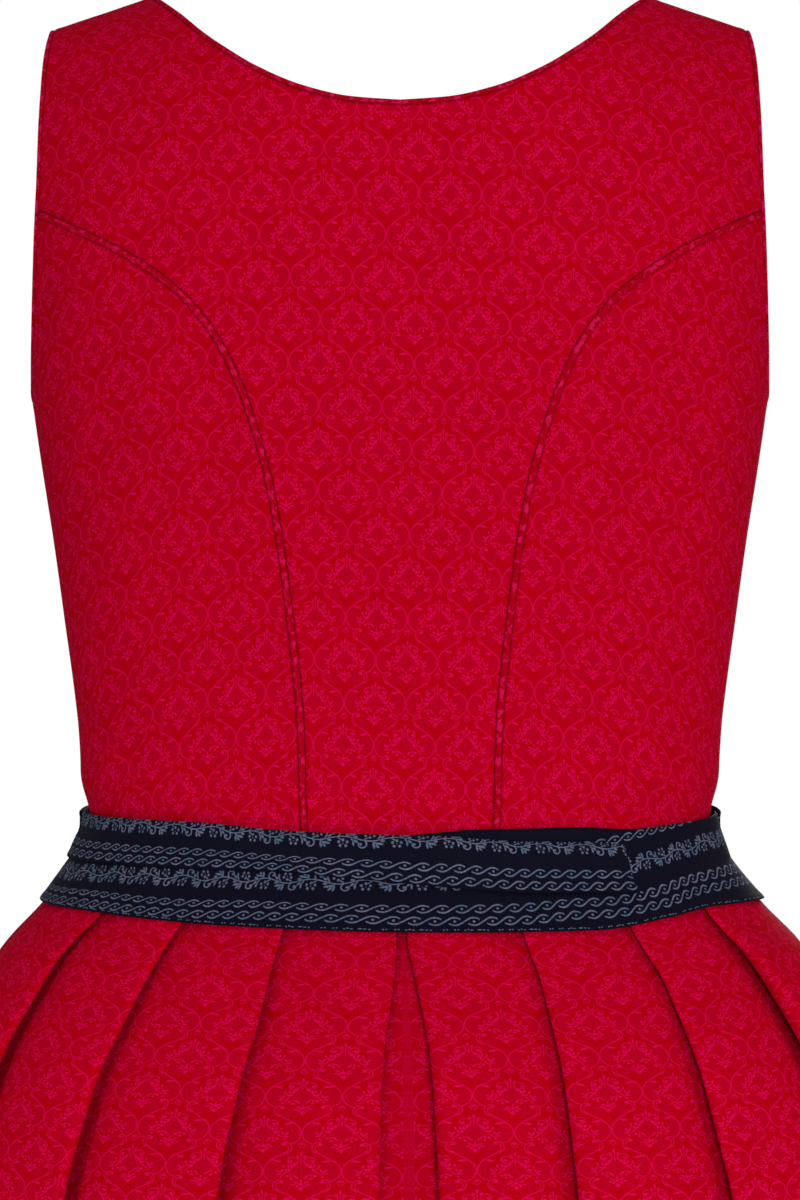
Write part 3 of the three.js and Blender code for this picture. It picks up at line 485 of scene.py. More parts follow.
# ------------------------------------------------------------------ node charts
class Chart:
    """Short names for shader nodes."""

    def __init__(self, tree):
        self.t = tree

    def put(self, socket, value):
        if isinstance(value, bpy.types.NodeSocket):
            self.t.links.new(value, socket)
        elif value is not None:
            socket.default_value = value

    def node(self, kind, **props):
        n = self.t.nodes.new(kind)
        for k, v in props.items():
            setattr(n, k, v)
        return n

    def math(self, op, a, b=None, c=None, clamp=False):
        n = self.node("ShaderNodeMath", operation=op, use_clamp=clamp)
        for s, v in zip(n.inputs, (a, b, c)):
            self.put(s, v)
        return n.outputs[0]

    def vec(self, op, a, b=None):
        n = self.node("ShaderNodeVectorMath", operation=op)
        self.put(n.inputs[0], a)
        if b is not None:
            self.put(n.inputs[1], b)
        return n.outputs["Value"] if op in ("LENGTH", "DOT_PRODUCT", "DISTANCE") else n.outputs["Vector"]

    def join(self, x, y, z=0.0):
        n = self.node("ShaderNodeCombineXYZ")
        for s, v in zip(n.inputs, (x, y, z)):
            self.put(s, v)
        return n.outputs[0]

    def split(self, v):
        n = self.node("ShaderNodeSeparateXYZ")
        self.put(n.inputs[0], v)
        return n.outputs

    def turned(self, v, loc, deg, scale):
        """v seen from loc, turned by deg and in units of scale."""
        n = self.node("ShaderNodeMapping", vector_type="TEXTURE")
        self.put(n.inputs["Vector"], v)
        n.inputs["Location"].default_value = (loc[0], loc[1], 0)
        n.inputs["Rotation"].default_value = (0, 0, math.radians(deg))
        n.inputs["Scale"].default_value = (scale[0], scale[1], 1)
        return n.outputs[0]

    def leaf(self, v, x, y, deg, rx, ry):
        return self.vec("LENGTH", self.turned(v, (x, y), deg, (rx, ry)))

    def ring(self, v, x, y, deg, rx, ry, half_line, keep=None):
        """An ellipse's line: 1 at the edge of the line. keep limits it to where keep is over 0."""
        q = self.leaf(v, x, y, deg, rx, ry)
        d = self.math("MULTIPLY", self.math("ABSOLUTE", self.math("SUBTRACT", q, 1.0)), (rx + ry) / 2 / half_line)
        if keep is not None:
            d = self.math("MAXIMUM", d, self.math("MULTIPLY_ADD", keep, -3.0, 1.0))
        return d

    def least(self, values):
        out = values[0]
        for v in values[1:]:
            out = self.math("MINIMUM", out, v)
        return out

    def ramp(self, v, a, b, y0=0.0, y1=1.0, smooth_step=True):
        n = self.node("ShaderNodeMapRange", interpolation_type="SMOOTHSTEP" if smooth_step else "LINEAR")
        self.put(n.inputs["Value"], v)
        for key, val in (("From Min", a), ("From Max", b), ("To Min", y0), ("To Max", y1)):
            n.inputs[key].default_value = val
        return n.outputs[0]

    def mix(self, fac, a, b):
        n = self.node("ShaderNodeMix", data_type="RGBA")
        self.put(n.inputs["Factor"], fac)
        self.put(n.inputs["A"], a)
        self.put(n.inputs["B"], b)
        return n.outputs["Result"]

    def noise(self, v, scale, detail=2.0, rough=0.5, dims="3D"):
        n = self.node("ShaderNodeTexNoise", noise_dimensions=dims)
        self.put(n.inputs["Vector"], v)
        n.inputs["Scale"].default_value = scale
        n.inputs["Detail"].default_value = detail
        n.inputs["Roughness"].default_value = rough
        return n.outputs["Fac"]

    def attribute(self, name):
        n = self.node("ShaderNodeAttribute", attribute_name=name, attribute_type="GEOMETRY")
        return n.outputs["Fac"]


def linear(r, g, b):
    f = lambda c: (c / 255 / 12.92) if c / 255 <= 0.04045 else ((c / 255 + 0.055) / 1.055) ** 2.4
    return (f(r), f(g), f(b), 1.0)


def cloth_uv(ch, kx, ky):
    """The cloth's own coordinates in chart millimetres, y downwards."""
    n = ch.node("ShaderNodeUVMap", uv_map="cloth")
    m = ch.node("ShaderNodeMapping", vector_type="POINT")
    ch.put(m.inputs["Vector"], n.outputs[0])
    m.inputs["Scale"].default_value = (1000 * kx, -1000 * ky, 1)
    return n.outputs[0], m.outputs[0]


DAMASK_W, DAMASK_H = 30.2, 38.7   # one repeat of the bodice print, mm
LEAF_GAIN = 1.14
DAMASK_LEAVES = [  # x, y down, degrees, half width, half length; the right half
    (0, -8.5, 0, .42, 1.0), (1.4, -7.35, 45, .34, .85), (0, -5.3, 0, .20, 1.7),
    (4.1, -5.0, 20, .72, .55), (2.4, -3.1, -50, .48, .80), (3.7, -2.1, 0, .62, .72), (5.1, -2.4, 12, .38, .85),
    (7.0, -2.1, 10, .36, .75), (4.6, -.5, -40, .55, .75), (6.3, 1.3, -42, .22, 1.7), (5.9, -.6, 50, .36, .7),
    (8.9, .5, 48, .34, 1.25), (8.8, 1.9, 82, .32, 1.0), (7.6, .1, -30, .34, .9), (8.1, 3.3, 0, .42, .45),
    (2.2, 3.0, 48, .33, 1.35), (3.8, 4.0, 60, .46, .62), (5.4, 2.8, 70, .52, .66), (4.0, 2.5, 30, .32, .6),
    (0, 6.6, 0, .62, .62), (1.7, 6.1, 66, .32, 1.2), (2.7, 7.1, 94, .32, .9), (1.4, 7.8, 130, .34, .85),
    (0, 5.1, 0, .24, .8), (0, 9.2, 0, .62, .85), (.75, 8.8, -40, .3, .55),
    (7.9, 5.8, 20, .80, .66), (9.6, -4.9, 78, .46, 1.45),
    (0, -13.8, 0, .50, .55), (.85, -14.0, -45, .17, .95), (.85, -12.5, 45, .17, .95),
    (6.2, 11.9, 58, .26, 4.4), (8.9, -7.45, -58, .26, 4.4),
]


def damask(ch, P):
    """The repeat: 1 at the edge of every line and leaf of the pattern, below 1 inside."""
    sc = ch.node("ShaderNodeMapping", vector_type="POINT")
    ch.put(sc.inputs["Vector"], P)
    sc.inputs["Scale"].default_value = (1 / DAMASK_W, 1 / DAMASK_H, 0)
    x, y, _ = ch.split(sc.outputs[0])
    X = ch.math("ABSOLUTE", ch.math("WRAP", x, 0.5, -0.5))
    Y = ch.math("WRAP", y, 0.5, -0.5)
    flag = ch.math("GREATER_THAN", ch.math("ADD", X, ch.math("ABSOLUTE", Y)), 0.5)
    X = ch.math("ADD", X, ch.math("MULTIPLY", flag, ch.math("MULTIPLY_ADD", X, -2.0, 0.5)))
    Y = ch.math("SUBTRACT", Y, ch.math("MULTIPLY", flag, ch.math("MULTIPLY", ch.math("SIGN", Y), 0.5)))
    X, Y = ch.math("MULTIPLY", X, DAMASK_W), ch.math("MULTIPLY", Y, DAMASK_H)
    q = ch.join(X, Y)
    line = 0.29
    parts = [ch.leaf(q, x0, y0, deg, rx * LEAF_GAIN, ry * LEAF_GAIN) for x0, y0, deg, rx, ry in DAMASK_LEAVES]
    # big side arcs, and the neighbours' arcs that reach in above and below
    parts.append(ch.ring(q, 9.13, 0, 0, 5.75, 5.75, line, ch.math("SUBTRACT", X, 10.6)))
    q_abs = ch.join(X, ch.math("ABSOLUTE", Y))
    parts.append(ch.ring(q_abs, 5.97, 19.35, 0, 5.75, 5.75, line, ch.math("SUBTRACT", 4.5, X)))
    # loops of the wreath
    parts.append(ch.ring(q, 3.2, -5.3, 0, 2.15, 1.75, 0.26))
    # curls, and the same as they reach into the cell below
    out = ch.math("SUBTRACT", X, 7.9)
    parts.append(ch.ring(q, 8.75, 7.6, 0, 2.3, 2.8, line, out))
    parts.append(ch.ring(q, 8.55, 7.9, 0, 1.35, 1.95, 0.22, ch.math("SUBTRACT", X, 8.5)))
    near = ch.math("SUBTRACT", 7.2, X)
    parts.append(ch.ring(q, 6.35, -11.75, 0, 2.3, 2.8, line, near))
    parts.append(ch.ring(q, 6.55, -11.45, 0, 1.35, 1.95, 0.22, ch.math("SUBTRACT", 6.6, X)))
    fine = parts[:len(DAMASK_LEAVES) - 2]
    # long lines print a little fainter than the leaves
    return ch.math("MINIMUM", ch.least(fine), ch.math("MAXIMUM", ch.least(parts[len(fine):]), 0.82)), q


def red_cloth(name, kx, ky, soft=0.0, base=(183, 0, 21), fill=(184, 0, 33), ink=(221, 8, 84), gain=1.0):
    """Printed cotton: a fine damask in a pinker red, plain weave below it."""
    m = bpy.data.materials.new(name)
    m.use_nodes = True
    t = m.node_tree
    t.nodes.clear()
    ch = Chart(t)
    uv, P = cloth_uv(ch, kx, ky)
    # the print wanders a little, as cloth does
    warp = ch.node("ShaderNodeTexNoise", noise_dimensions="2D")
    ch.put(warp.inputs["Vector"], uv)
    warp.inputs["Scale"].default_value = 55.0
    warp.inputs["Detail"].default_value = 1.0
    off = ch.vec("SUBTRACT", warp.outputs["Color"], (0.5, 0.5, 0.5))
    sc = ch.node("ShaderNodeVectorMath", operation="SCALE")
    ch.put(sc.inputs[0], off)
    sc.inputs["Scale"].default_value = 1.1
    Pw = ch.vec("ADD", P, sc.outputs[0])
    d, q = damask(ch, Pw)
    wear = ch.noise(uv, 900.0, 2.0, 0.6, "2D")
    ink_fac = ch.math("MULTIPLY", ch.ramp(d, 1.35, 0.55), ch.ramp(wear, 0.25, 0.62, 0.55, 1.0))
    inside = ch.ramp(ch.least([ch.leaf(q, 0, -.5, 0, 5.0, 5.0), ch.leaf(q, 5.2, 8.6, 0, 2.6, 3.4), ch.leaf(q, 11.5, 0, 0, 3.4, 4.6)]), 1.1, 0.75)
    ground = ch.mix(inside, linear(*base), linear(*fill))
    colour = ch.mix(ink_fac, ground, linear(*ink))
    # slubs and a faint unevenness of the dye
    slub = ch.node("ShaderNodeMapping", vector_type="POINT")
    ch.put(slub.inputs["Vector"], uv)
    slub.inputs["Scale"].default_value = (1400, 520, 1)
    thread = ch.noise(slub.outputs[0], 1.0, 2.0, 0.55, "2D")
    blotch = ch.noise(uv, 38.0, 2.0, 0.5, "2D")
    tone = ch.math("MULTIPLY", ch.ramp(thread, 0.2, 0.8, 0.90, 1.06, False), ch.ramp(blotch, 0.25, 0.75, 0.965, 1.03, False))
    # painted shade: the colour darkens within about 3 mm of seams, piping, rims and hems, where the seam grooves lie in
    # shade
    edge = ch.attribute("edge")
    tone = ch.math("MULTIPLY", tone, ch.ramp(edge, 1.5, 3.3, 0.52, 1.0))
    # painted shade beside the skirt's folds, from the per-vertex number that skirt_half writes; pieces without it read
    # 0 and stay unchanged
    tone = ch.math("MULTIPLY", tone, ch.math("SUBTRACT", 1.0, ch.attribute("painted_fold_shade")))
    if gain != 1.0:
        tone = ch.math("MULTIPLY", tone, gain)
    hsv = ch.vec("MULTIPLY", colour, ch.join(tone, tone, tone))
    bsdf = ch.node("ShaderNodeBsdfPrincipled")
    ch.put(bsdf.inputs["Base Color"], hsv)
    bsdf.inputs["Roughness"].default_value = 0.82
    bsdf.inputs["Specular IOR Level"].default_value = 0.008
    bsdf.inputs["Sheen Weight"].default_value = 0.02
    bsdf.inputs["Sheen Roughness"].default_value = 0.45
    bsdf.inputs["Sheen Tint"].default_value = (1.0, 0.02, 0.10, 1.0)
    # plain weave: crossing threads 0.42 mm apart
    u, v, _ = ch.split(uv)
    w1 = ch.math("SINE", ch.math("MULTIPLY", u, 2 * math.pi / 0.00042))
    w2 = ch.math("SINE", ch.math("MULTIPLY", v, 2 * math.pi / 0.00042))
    weave = ch.math("MULTIPLY", w1, w2)
    height = ch.math("ADD", ch.math("MULTIPLY", weave, 0.25), ch.math("MULTIPLY", thread, 1.0))
    bump = ch.node("ShaderNodeBump")
    bump.inputs["Strength"].default_value = 0.35
    bump.inputs["Distance"].default_value = 0.00012
    ch.put(bump.inputs["Height"], height)
    ch.put(bsdf.inputs["Normal"], bump.outputs[0])
    out = ch.node("ShaderNodeOutputMaterial")
    t.links.new(bsdf.outputs[0], out.inputs["Surface"])
    return m


EYE = 8.6                 # one eye of the guilloche rows, mm
VINE_HALF = 12.45         # half a repeat of the vine: the other half is the same turned over
PRINT_PERIOD = 31.0       # from vine to vine
ROW_AT = 2.65             # the two guilloche rows lie this far either side of half way
VINE_LEAVES = [  # x, y up, degrees, half width, half length; measured from the flower, which is above the stem
    (1.3, 3.2, 0, .56, .54), (-1.3, 3.2, 0, .56, .54), (2.0, 1.6, 0, .56, .54), (-2.0, 1.6, 0, .56, .54), (0, .75, 0, .58, .52),
    (0, 2.2, 0, .22, .22), (4.3, -2.45, 0, .58, .52), (1.7, .1, 62, .24, 1.05),
    (-1.8, -3.05, -14, .50, 1.10), (-4.6, -2.15, -80, .44, 1.5), (-3.5, -3.3, -55, .42, .80), (-2.8, -2.0, -60, .36, .95),
    (-6.0, -.95, 90, .44, .95), (-6.1, 1.25, 60, .44, 1.0), (-4.8, 2.05, 4, .40, 1.0), (-4.3, .7, 40, .28, .95),
    (-1.6, -1.6, -20, .24, .7),
]
FRINGE = [  # x, y up from the tie's lower edge, half width, half height: tips of the next repeat, cut by the edge
    (0.6, 1.15, .50, .26), (2.0, 1.25, .42, .24), (5.0, 1.0, .46, .28), (6.4, 1.3, .50, .24), (7.9, 1.05, .66, .22),
    (11.3, 1.2, 1.0, .24), (13.4, 1.15, .7, .22), (15.2, 1.0, .42, .26), (20.6, 1.1, .46, .26), (22.0, 1.2, .40, .24),
]


def navy_cloth(name, fringe=False):
    """Dark blue cotton printed with guilloche rows and a flowering vine between them."""
    m = bpy.data.materials.new(name)
    m.use_nodes = True
    t = m.node_tree
    t.nodes.clear()
    ch = Chart(t)
    uv_node = ch.node("ShaderNodeUVMap", uv_map="cloth")
    uv = uv_node.outputs[0]
    mp = ch.node("ShaderNodeMapping", vector_type="POINT")
    ch.put(mp.inputs["Vector"], uv)
    mp.inputs["Scale"].default_value = (1000, 1000, 1)
    u, v, _ = ch.split(mp.outputs[0])
    # guilloche pair: the rising strand is whole, the falling one goes under it
    w = ch.math("WRAP", ch.math("SUBTRACT", v, PRINT_PERIOD / 2), PRINT_PERIOD / 2, -PRINT_PERIOD / 2)
    sg = ch.math("SIGN", w)
    yg = ch.math("SUBTRACT", w, ch.math("MULTIPLY", sg, ROW_AT))
    xg = ch.math("WRAP", ch.math("ADD", u, ch.math("MULTIPLY", sg, -0.22 * EYE)), EYE, 0.0)
    g = ch.math("COSINE", ch.math("MULTIPLY", xg, math.pi / EYE))
    A, half_line = 1.62, 0.31
    l1 = ch.math("MULTIPLY", ch.math("ABSOLUTE", ch.math("MULTIPLY_ADD", g, A, yg)), 0.88 / half_line)
    l2 = ch.math("MULTIPLY", ch.math("ABSOLUTE", ch.math("MULTIPLY_ADD", g, -A, yg)), 0.95 / half_line)
    l2 = ch.math("MAXIMUM", l2, ch.ramp(ch.math("ABSOLUTE", g), 0.66, 0.40, 0.0, 2.5, False))
    xe = ch.math("WRAP", xg, EYE / 2, -EYE / 2)
    dot = ch.leaf(ch.join(xe, yg), 0, 0, 0, 0.62, 0.50)
    rows = ch.least([l1, l2, dot])
    # vine
    s = ch.math("WRAP", ch.math("ADD", u, 6.95), 2 * VINE_HALF, 0.0)
    turn = ch.math("GREATER_THAN", s, VINE_HALF)
    xv = ch.math("SUBTRACT", ch.math("SUBTRACT", s, ch.math("MULTIPLY", turn, VINE_HALF)), 6.95)
    yv0 = ch.math("WRAP", v, PRINT_PERIOD / 2, -PRINT_PERIOD / 2)
    yv = ch.math("MULTIPLY", yv0, ch.math("MULTIPLY_ADD", turn, -2.0, 1.0))
    q = ch.join(xv, yv)
    stem_y = ch.math("MULTIPLY", ch.math("COSINE", ch.math("MULTIPLY", xv, math.pi / VINE_HALF)), -1.0)
    stem = ch.math("MULTIPLY", ch.math("ABSOLUTE", ch.math("SUBTRACT", yv, stem_y)), 0.94 / 0.24)
    curl_keep = ch.math("MAXIMUM", ch.math("SUBTRACT", -1.9, yv), ch.math("SUBTRACT", 2.6, xv))
    parts = [stem, ch.ring(q, 3.45, -2.3, 0, 1.9, 1.6, 0.33, curl_keep)]
    parts += [ch.leaf(q, x0, y0, deg, rx * 1.16, ry * 1.12) for x0, y0, deg, rx, ry in VINE_LEAVES]
    vine = ch.least(parts)
    near_vine = ch.math("LESS_THAN", ch.math("ABSOLUTE", yv0), 6.2)
    vine = ch.math("MAXIMUM", vine, ch.math("MULTIPLY_ADD", near_vine, -3.0, 3.0))
    near_rows = ch.math("LESS_THAN", ch.math("ABSOLUTE", w), 5.6)
    rows = ch.math("MAXIMUM", rows, ch.math("MULTIPLY_ADD", near_rows, -3.0, 3.0))
    d = ch.least([rows, vine])
    if fringe:
        low = ch.attribute("from_edge")
        xf = ch.math("WRAP", u, 2 * VINE_HALF, 0.0)
        tips = ch.least([ch.leaf(ch.join(xf, low), x, y, 0, a, b) for x, y, a, b in FRINGE])
        d = ch.math("MINIMUM", d, ch.math("MAXIMUM", tips, 0.7))
    wear = ch.noise(uv, 1500.0, 2.0, 0.6, "2D")
    ink_fac = ch.math("MULTIPLY", ch.ramp(d, 1.35, 0.6), ch.ramp(wear, 0.28, 0.6, 0.45, 1.0))
    tint = ch.noise(uv, 60.0, 1.0, 0.5, "2D")
    ink = ch.mix(ch.ramp(tint, 0.4, 0.6), linear(93, 109, 134), linear(111, 115, 140))
    colour = ch.mix(ink_fac, linear(14, 13, 29), ink)
    slub = ch.node("ShaderNodeMapping", vector_type="POINT")
    ch.put(slub.inputs["Vector"], uv)
    slub.inputs["Scale"].default_value = (520, 1500, 1)
    thread = ch.noise(slub.outputs[0], 1.0, 2.0, 0.55, "2D")
    tone = ch.ramp(thread, 0.2, 0.8, 0.86, 1.12, False)
    tone = ch.math("MULTIPLY", tone, ch.ramp(ch.attribute("edge"), 0.1, 1.4, 0.75, 1.0))
    col = ch.vec("MULTIPLY", colour, ch.join(tone, tone, tone))
    bsdf = ch.node("ShaderNodeBsdfPrincipled")
    ch.put(bsdf.inputs["Base Color"], col)
    bsdf.inputs["Roughness"].default_value = 0.78
    bsdf.inputs["Specular IOR Level"].default_value = 0.04
    bsdf.inputs["Sheen Weight"].default_value = 0.015
    bsdf.inputs["Sheen Roughness"].default_value = 0.5
    bsdf.inputs["Sheen Tint"].default_value = (0.5, 0.5, 0.7, 1.0)
    uu, vv, _ = ch.split(uv)
    w1 = ch.math("SINE", ch.math("MULTIPLY", uu, 2 * math.pi / 0.00038))
    w2 = ch.math("SINE", ch.math("MULTIPLY", vv, 2 * math.pi / 0.00038))
    height = ch.math("ADD", ch.math("MULTIPLY", ch.math("MULTIPLY", w1, w2), 0.3), ch.math("MULTIPLY", thread, 1.0))
    bump = ch.node("ShaderNodeBump")
    bump.inputs["Strength"].default_value = 0.35
    bump.inputs["Distance"].default_value = 0.00012
    ch.put(bump.inputs["Height"], height)
    ch.put(bsdf.inputs["Normal"], bump.outputs[0])
    out = ch.node("ShaderNodeOutputMaterial")
    t.links.new(bsdf.outputs[0], out.inputs["Surface"])
    return m


def plain_red(name, gain=1.0):
    """Bias-cut cording: the same red with too little width for the print to show whole."""
    m = bpy.data.materials.new(name)
    m.use_nodes = True
    t = m.node_tree
    t.nodes.clear()
    ch = Chart(t)
    uv = ch.node("ShaderNodeUVMap", uv_map="cloth").outputs[0]
    spot = ch.noise(uv, 260.0, 3.0, 0.6, "2D")
    colour = ch.mix(ch.ramp(spot, 0.50, 0.62), linear(174 * gain, 0, 24), linear(212 * gain, 18, 78))
    turn = ch.node("ShaderNodeMapping", vector_type="POINT")
    ch.put(turn.inputs["Vector"], uv)
    turn.inputs["Rotation"].default_value = (0, 0, math.radians(45))
    turn.inputs["Scale"].default_value = (1900, 1900, 1)
    thread = ch.noise(turn.outputs[0], 1.0, 2.0, 0.6, "2D")
    tone = ch.ramp(thread, 0.2, 0.8, 0.82, 1.1, False)
    bsdf = ch.node("ShaderNodeBsdfPrincipled")
    ch.put(bsdf.inputs["Base Color"], ch.vec("MULTIPLY", colour, ch.join(tone, tone, tone)))
    bsdf.inputs["Roughness"].default_value = 0.82
    bsdf.inputs["Specular IOR Level"].default_value = 0.008
    bsdf.inputs["Sheen Weight"].default_value = 0.02
    bsdf.inputs["Sheen Tint"].default_value = (1.0, 0.02, 0.10, 1.0)
    bump = ch.node("ShaderNodeBump")
    bump.inputs["Strength"].default_value = 0.4
    bump.inputs["Distance"].default_value = 0.00015
    ch.put(bump.inputs["Height"], thread)
    ch.put(bsdf.inputs["Normal"], bump.outputs[0])
    out = ch.node("ShaderNodeOutputMaterial")
    t.links.new(bsdf.outputs[0], out.inputs["Surface"])
    return m


# the skirt's print is wider and lower than the bodice's
RED_BODICE = red_cloth("red_damask_bodice", 1.0, 1.0)
RED_SKIRT = red_cloth("red_damask_skirt", DAMASK_W / 35.6, DAMASK_H / 34.0)
RED_CORD = plain_red("red_piping")
NAVY = navy_cloth("navy_print")
NAVY_EDGED = navy_cloth("navy_print_edge", True)


# ------------------------------------------------------------------ bodice
HALF = SEAM_GAP / 2
EDGE_INSET = 1.25
SHELL = 1.0          # thickness of the bodice cloth with its backing, mm
CLOTH = 0.8          # thickness of the skirt cloth, mm


def inset_curve(pts, side, dist, toward):
    """Move a curve on the form by dist mm, square to itself, to the side where toward is."""
    om, v = pts[:, 0], np.maximum(pts[:, 1], 0.02)
    P = form_point(side, om, v)
    e = 1e-3
    Pu = (form_point(side, om + e, v) - form_point(side, om - e, v)) / (2 * e)
    Pv = (form_point(side, om, v + 0.02) - form_point(side, om, np.maximum(v - 0.02, 0))) / (v + 0.02 - np.maximum(v - 0.02, 0))[:, None]
    T = unit(np.gradient(P, axis=0))
    N = unit(np.cross(Pu, Pv))
    d = unit(np.cross(N, T))
    flip = ((np.asarray(toward) - P) * d).sum(-1, keepdims=True) < 0
    d = np.where(flip, -d, d) * dist
    a, b, c = (Pu * Pu).sum(-1), (Pu * Pv).sum(-1), (Pv * Pv).sum(-1)
    r, s = (Pu * d).sum(-1), (Pv * d).sum(-1)
    det = np.maximum(a * c - b * b, 1e-6)
    return np.stack([om + (r * c - s * b) / det, np.maximum(v + (a * s - b * r) / det, 0.02)], -1)


def resample(pts, side, fractions, corners=()):
    """Points at fractions of the curve's length; the nearest one to each corner is moved onto it."""
    Q = form_point(side, pts[:, 0], pts[:, 1])
    L = np.r_[0, np.cumsum(np.linalg.norm(np.diff(Q, axis=0), axis=1))]
    L /= L[-1]
    f = np.array(fractions, float)
    for c in corners:
        f[1 + np.argmin(np.abs(f[1:-1] - L[c]))] = L[c]
    return np.stack([np.interp(f, L, pts[:, k]) for k in (0, 1)], -1)


T400 = np.linspace(0, 1, 400)


def edge_sets(curves, side):
    """The left half's edges on the form: whole, and drawn in to leave room for the edge cord."""
    body = form_point(side, math.radians(30), float(drop_to_v(300)))
    neck, armu, arml, prin = (f(T400) for f in (curves.neck, curves.arm_upper, curves.arm_lower, curves.princess))
    low = lambda x, z: form_point(side, *at_x(x, z))
    mid_strap = form_point(side, math.radians(50), 40.0)
    neck_in = inset_curve(neck, side, EDGE_INSET, low(120.0 if side == FRONT else 90.0, -160.0))
    armu_in = inset_curve(armu, side, EDGE_INSET, low(60.0, -120.0))
    arml_in = inset_curve(arml, side, EDGE_INSET, low(100.0, -320.0))
    keep = arml_in[:, 0] < math.radians(87)
    end = at_angle(np.array([math.pi / 2 - 1.2e-3]), np.array([SIDE_TOP_Z - EDGE_INSET]))
    arml_in = np.concatenate([arml_in[keep], end])
    return dict(neck=neck, armu=armu, arml=arml, prin=prin, neck_in=neck_in, armu_in=armu_in, arml_in=arml_in)


EDGES = {BACK: edge_sets(BACK_CURVES, BACK), FRONT: edge_sets(FRONT_CURVES, FRONT)}
SIDE_SEAM = at_angle(np.full(400, math.pi / 2 - 1e-4), SIDE_TOP_Z + (WAIST_Z - SIDE_TOP_Z) * T400)

# Soft creases: side, x, z, degrees of the crease's run from level, half length, half width, depth (+ is a ridge)
CREASES = [
    (BACK, 112, -352, 14, 38, 8, -0.55), (BACK, 96, -338, 20, 30, 7, 0.40), (BACK, -118, -350, -17, 34, 9, -0.60),
    (BACK, -100, -333, -24, 27, 7, 0.35), (BACK, 20, -366, 4, 46, 7, -0.35), (BACK, -26, -358, -3, 38, 6, 0.25),
    (BACK, 133, -196, 58, 24, 9, -0.55), (BACK, -131, -200, -55, 26, 9, -0.50), (BACK, 120, -230, 66, 22, 8, 0.30),
    (BACK, 60, -70, -28, 34, 12, -0.40), (BACK, -64, -66, 30, 30, 11, -0.35), (BACK, 0, -300, 88, 70, 16, -0.50),
    (BACK, -60, -300, 80, 46, 12, 0.35), (BACK, 64, -286, 100, 42, 13, 0.30),
    (FRONT, 118, -214, 22, 30, 9, -0.60), (FRONT, -116, -220, -25, 28, 8, -0.60), (FRONT, 96, -344, 16, 34, 8, -0.50),
    (FRONT, -92, -350, -13, 38, 8, -0.55), (FRONT, 60, -256, 84, 36, 10, 0.35), (FRONT, -62, -262, 97, 32, 9, 0.35),
    (FRONT, 32, -366, 5, 30, 6, -0.35), (FRONT, -34, -362, -6, 34, 6, -0.30), (FRONT, 126, -140, 60, 22, 8, -0.4),
]


def crease_height(side, P):
    h = np.zeros(P.shape[:-1])
    for s, x, z, deg, length, width, depth in CREASES:
        if s != side:
            continue
        a = math.radians(deg)
        dx, dz = P[..., 0] - x, P[..., 2] - z
        u, w = dx * math.cos(a) + dz * math.sin(a), -dx * math.sin(a) + dz * math.cos(a)
        w = w + 0.004 * u * u * (1 if depth > 0 else -1) / max(length / 20, 1)
        h += depth * np.exp(-(u / length) ** 2 - (w / width) ** 2)
    fade = smoothstep(P[..., 2], -384, -372)
    # the bodice is a little full where the band draws it in
    full = 1.25 * np.exp(-((P[..., 2] + 366) / 9.5) ** 2) * (1 + 0.25 * np.sin(P[..., 0] / 17 + side))
    return h * fade + full


def cloth_lengths(side):
    """Lengths over the form: round from the centre and down from the top, as tables in omega and v."""
    om = np.linspace(-math.pi / 2, math.pi / 2, 721)
    v = np.linspace(0.02, 330, 661)
    O, Vv = np.meshgrid(om, v, indexing="ij")
    P = form_point(side, O, Vv)
    dU = np.linalg.norm(np.diff(P, axis=0), axis=-1)
    U = np.concatenate([np.zeros((1, len(v))), np.cumsum(dU, axis=0)])
    U -= U[360]
    dV = np.linalg.norm(np.diff(P, axis=1), axis=-1)
    V = np.concatenate([np.zeros((len(om), 1)), np.cumsum(dV, axis=1)], 1)
    V += (ridge(0) - ridge(RIDGE_HALF * np.abs(np.sin(om))))[:, None]
    return om, v, U, V


LENGTHS = {s: cloth_lengths(s) for s in (BACK, FRONT)}


def lengths_at(side, D):
    om, v, U, V = LENGTHS[side]
    i = np.clip((D[..., 0] - om[0]) / (om[1] - om[0]), 0, len(om) - 1.001)
    j = np.clip((D[..., 1] - v[0]) / (v[1] - v[0]), 0, len(v) - 1.001)
    i0, j0 = i.astype(int), j.astype(int)
    a, b = i - i0, j - j0
    out = []
    for M in (U, V):
        out.append((1 - a) * (1 - b) * M[i0, j0] + a * (1 - b) * M[i0 + 1, j0]
                   + (1 - a) * b * M[i0, j0 + 1] + a * b * M[i0 + 1, j0 + 1])
    return out


def grain(u, v, u0, v0, deg, sx=1.0, sy=1.0):
    """Cloth coordinates from lengths: u to the right as seen, v downwards; deg turns the grain clockwise."""
    a = math.radians(deg)
    x, y = (u - u0) * sx, (v - v0) * sy
    return np.stack([x * math.cos(a) + y * math.sin(a), -(-x * math.sin(a) + y * math.cos(a))], -1) * 0.001


PANEL_AREA = {}


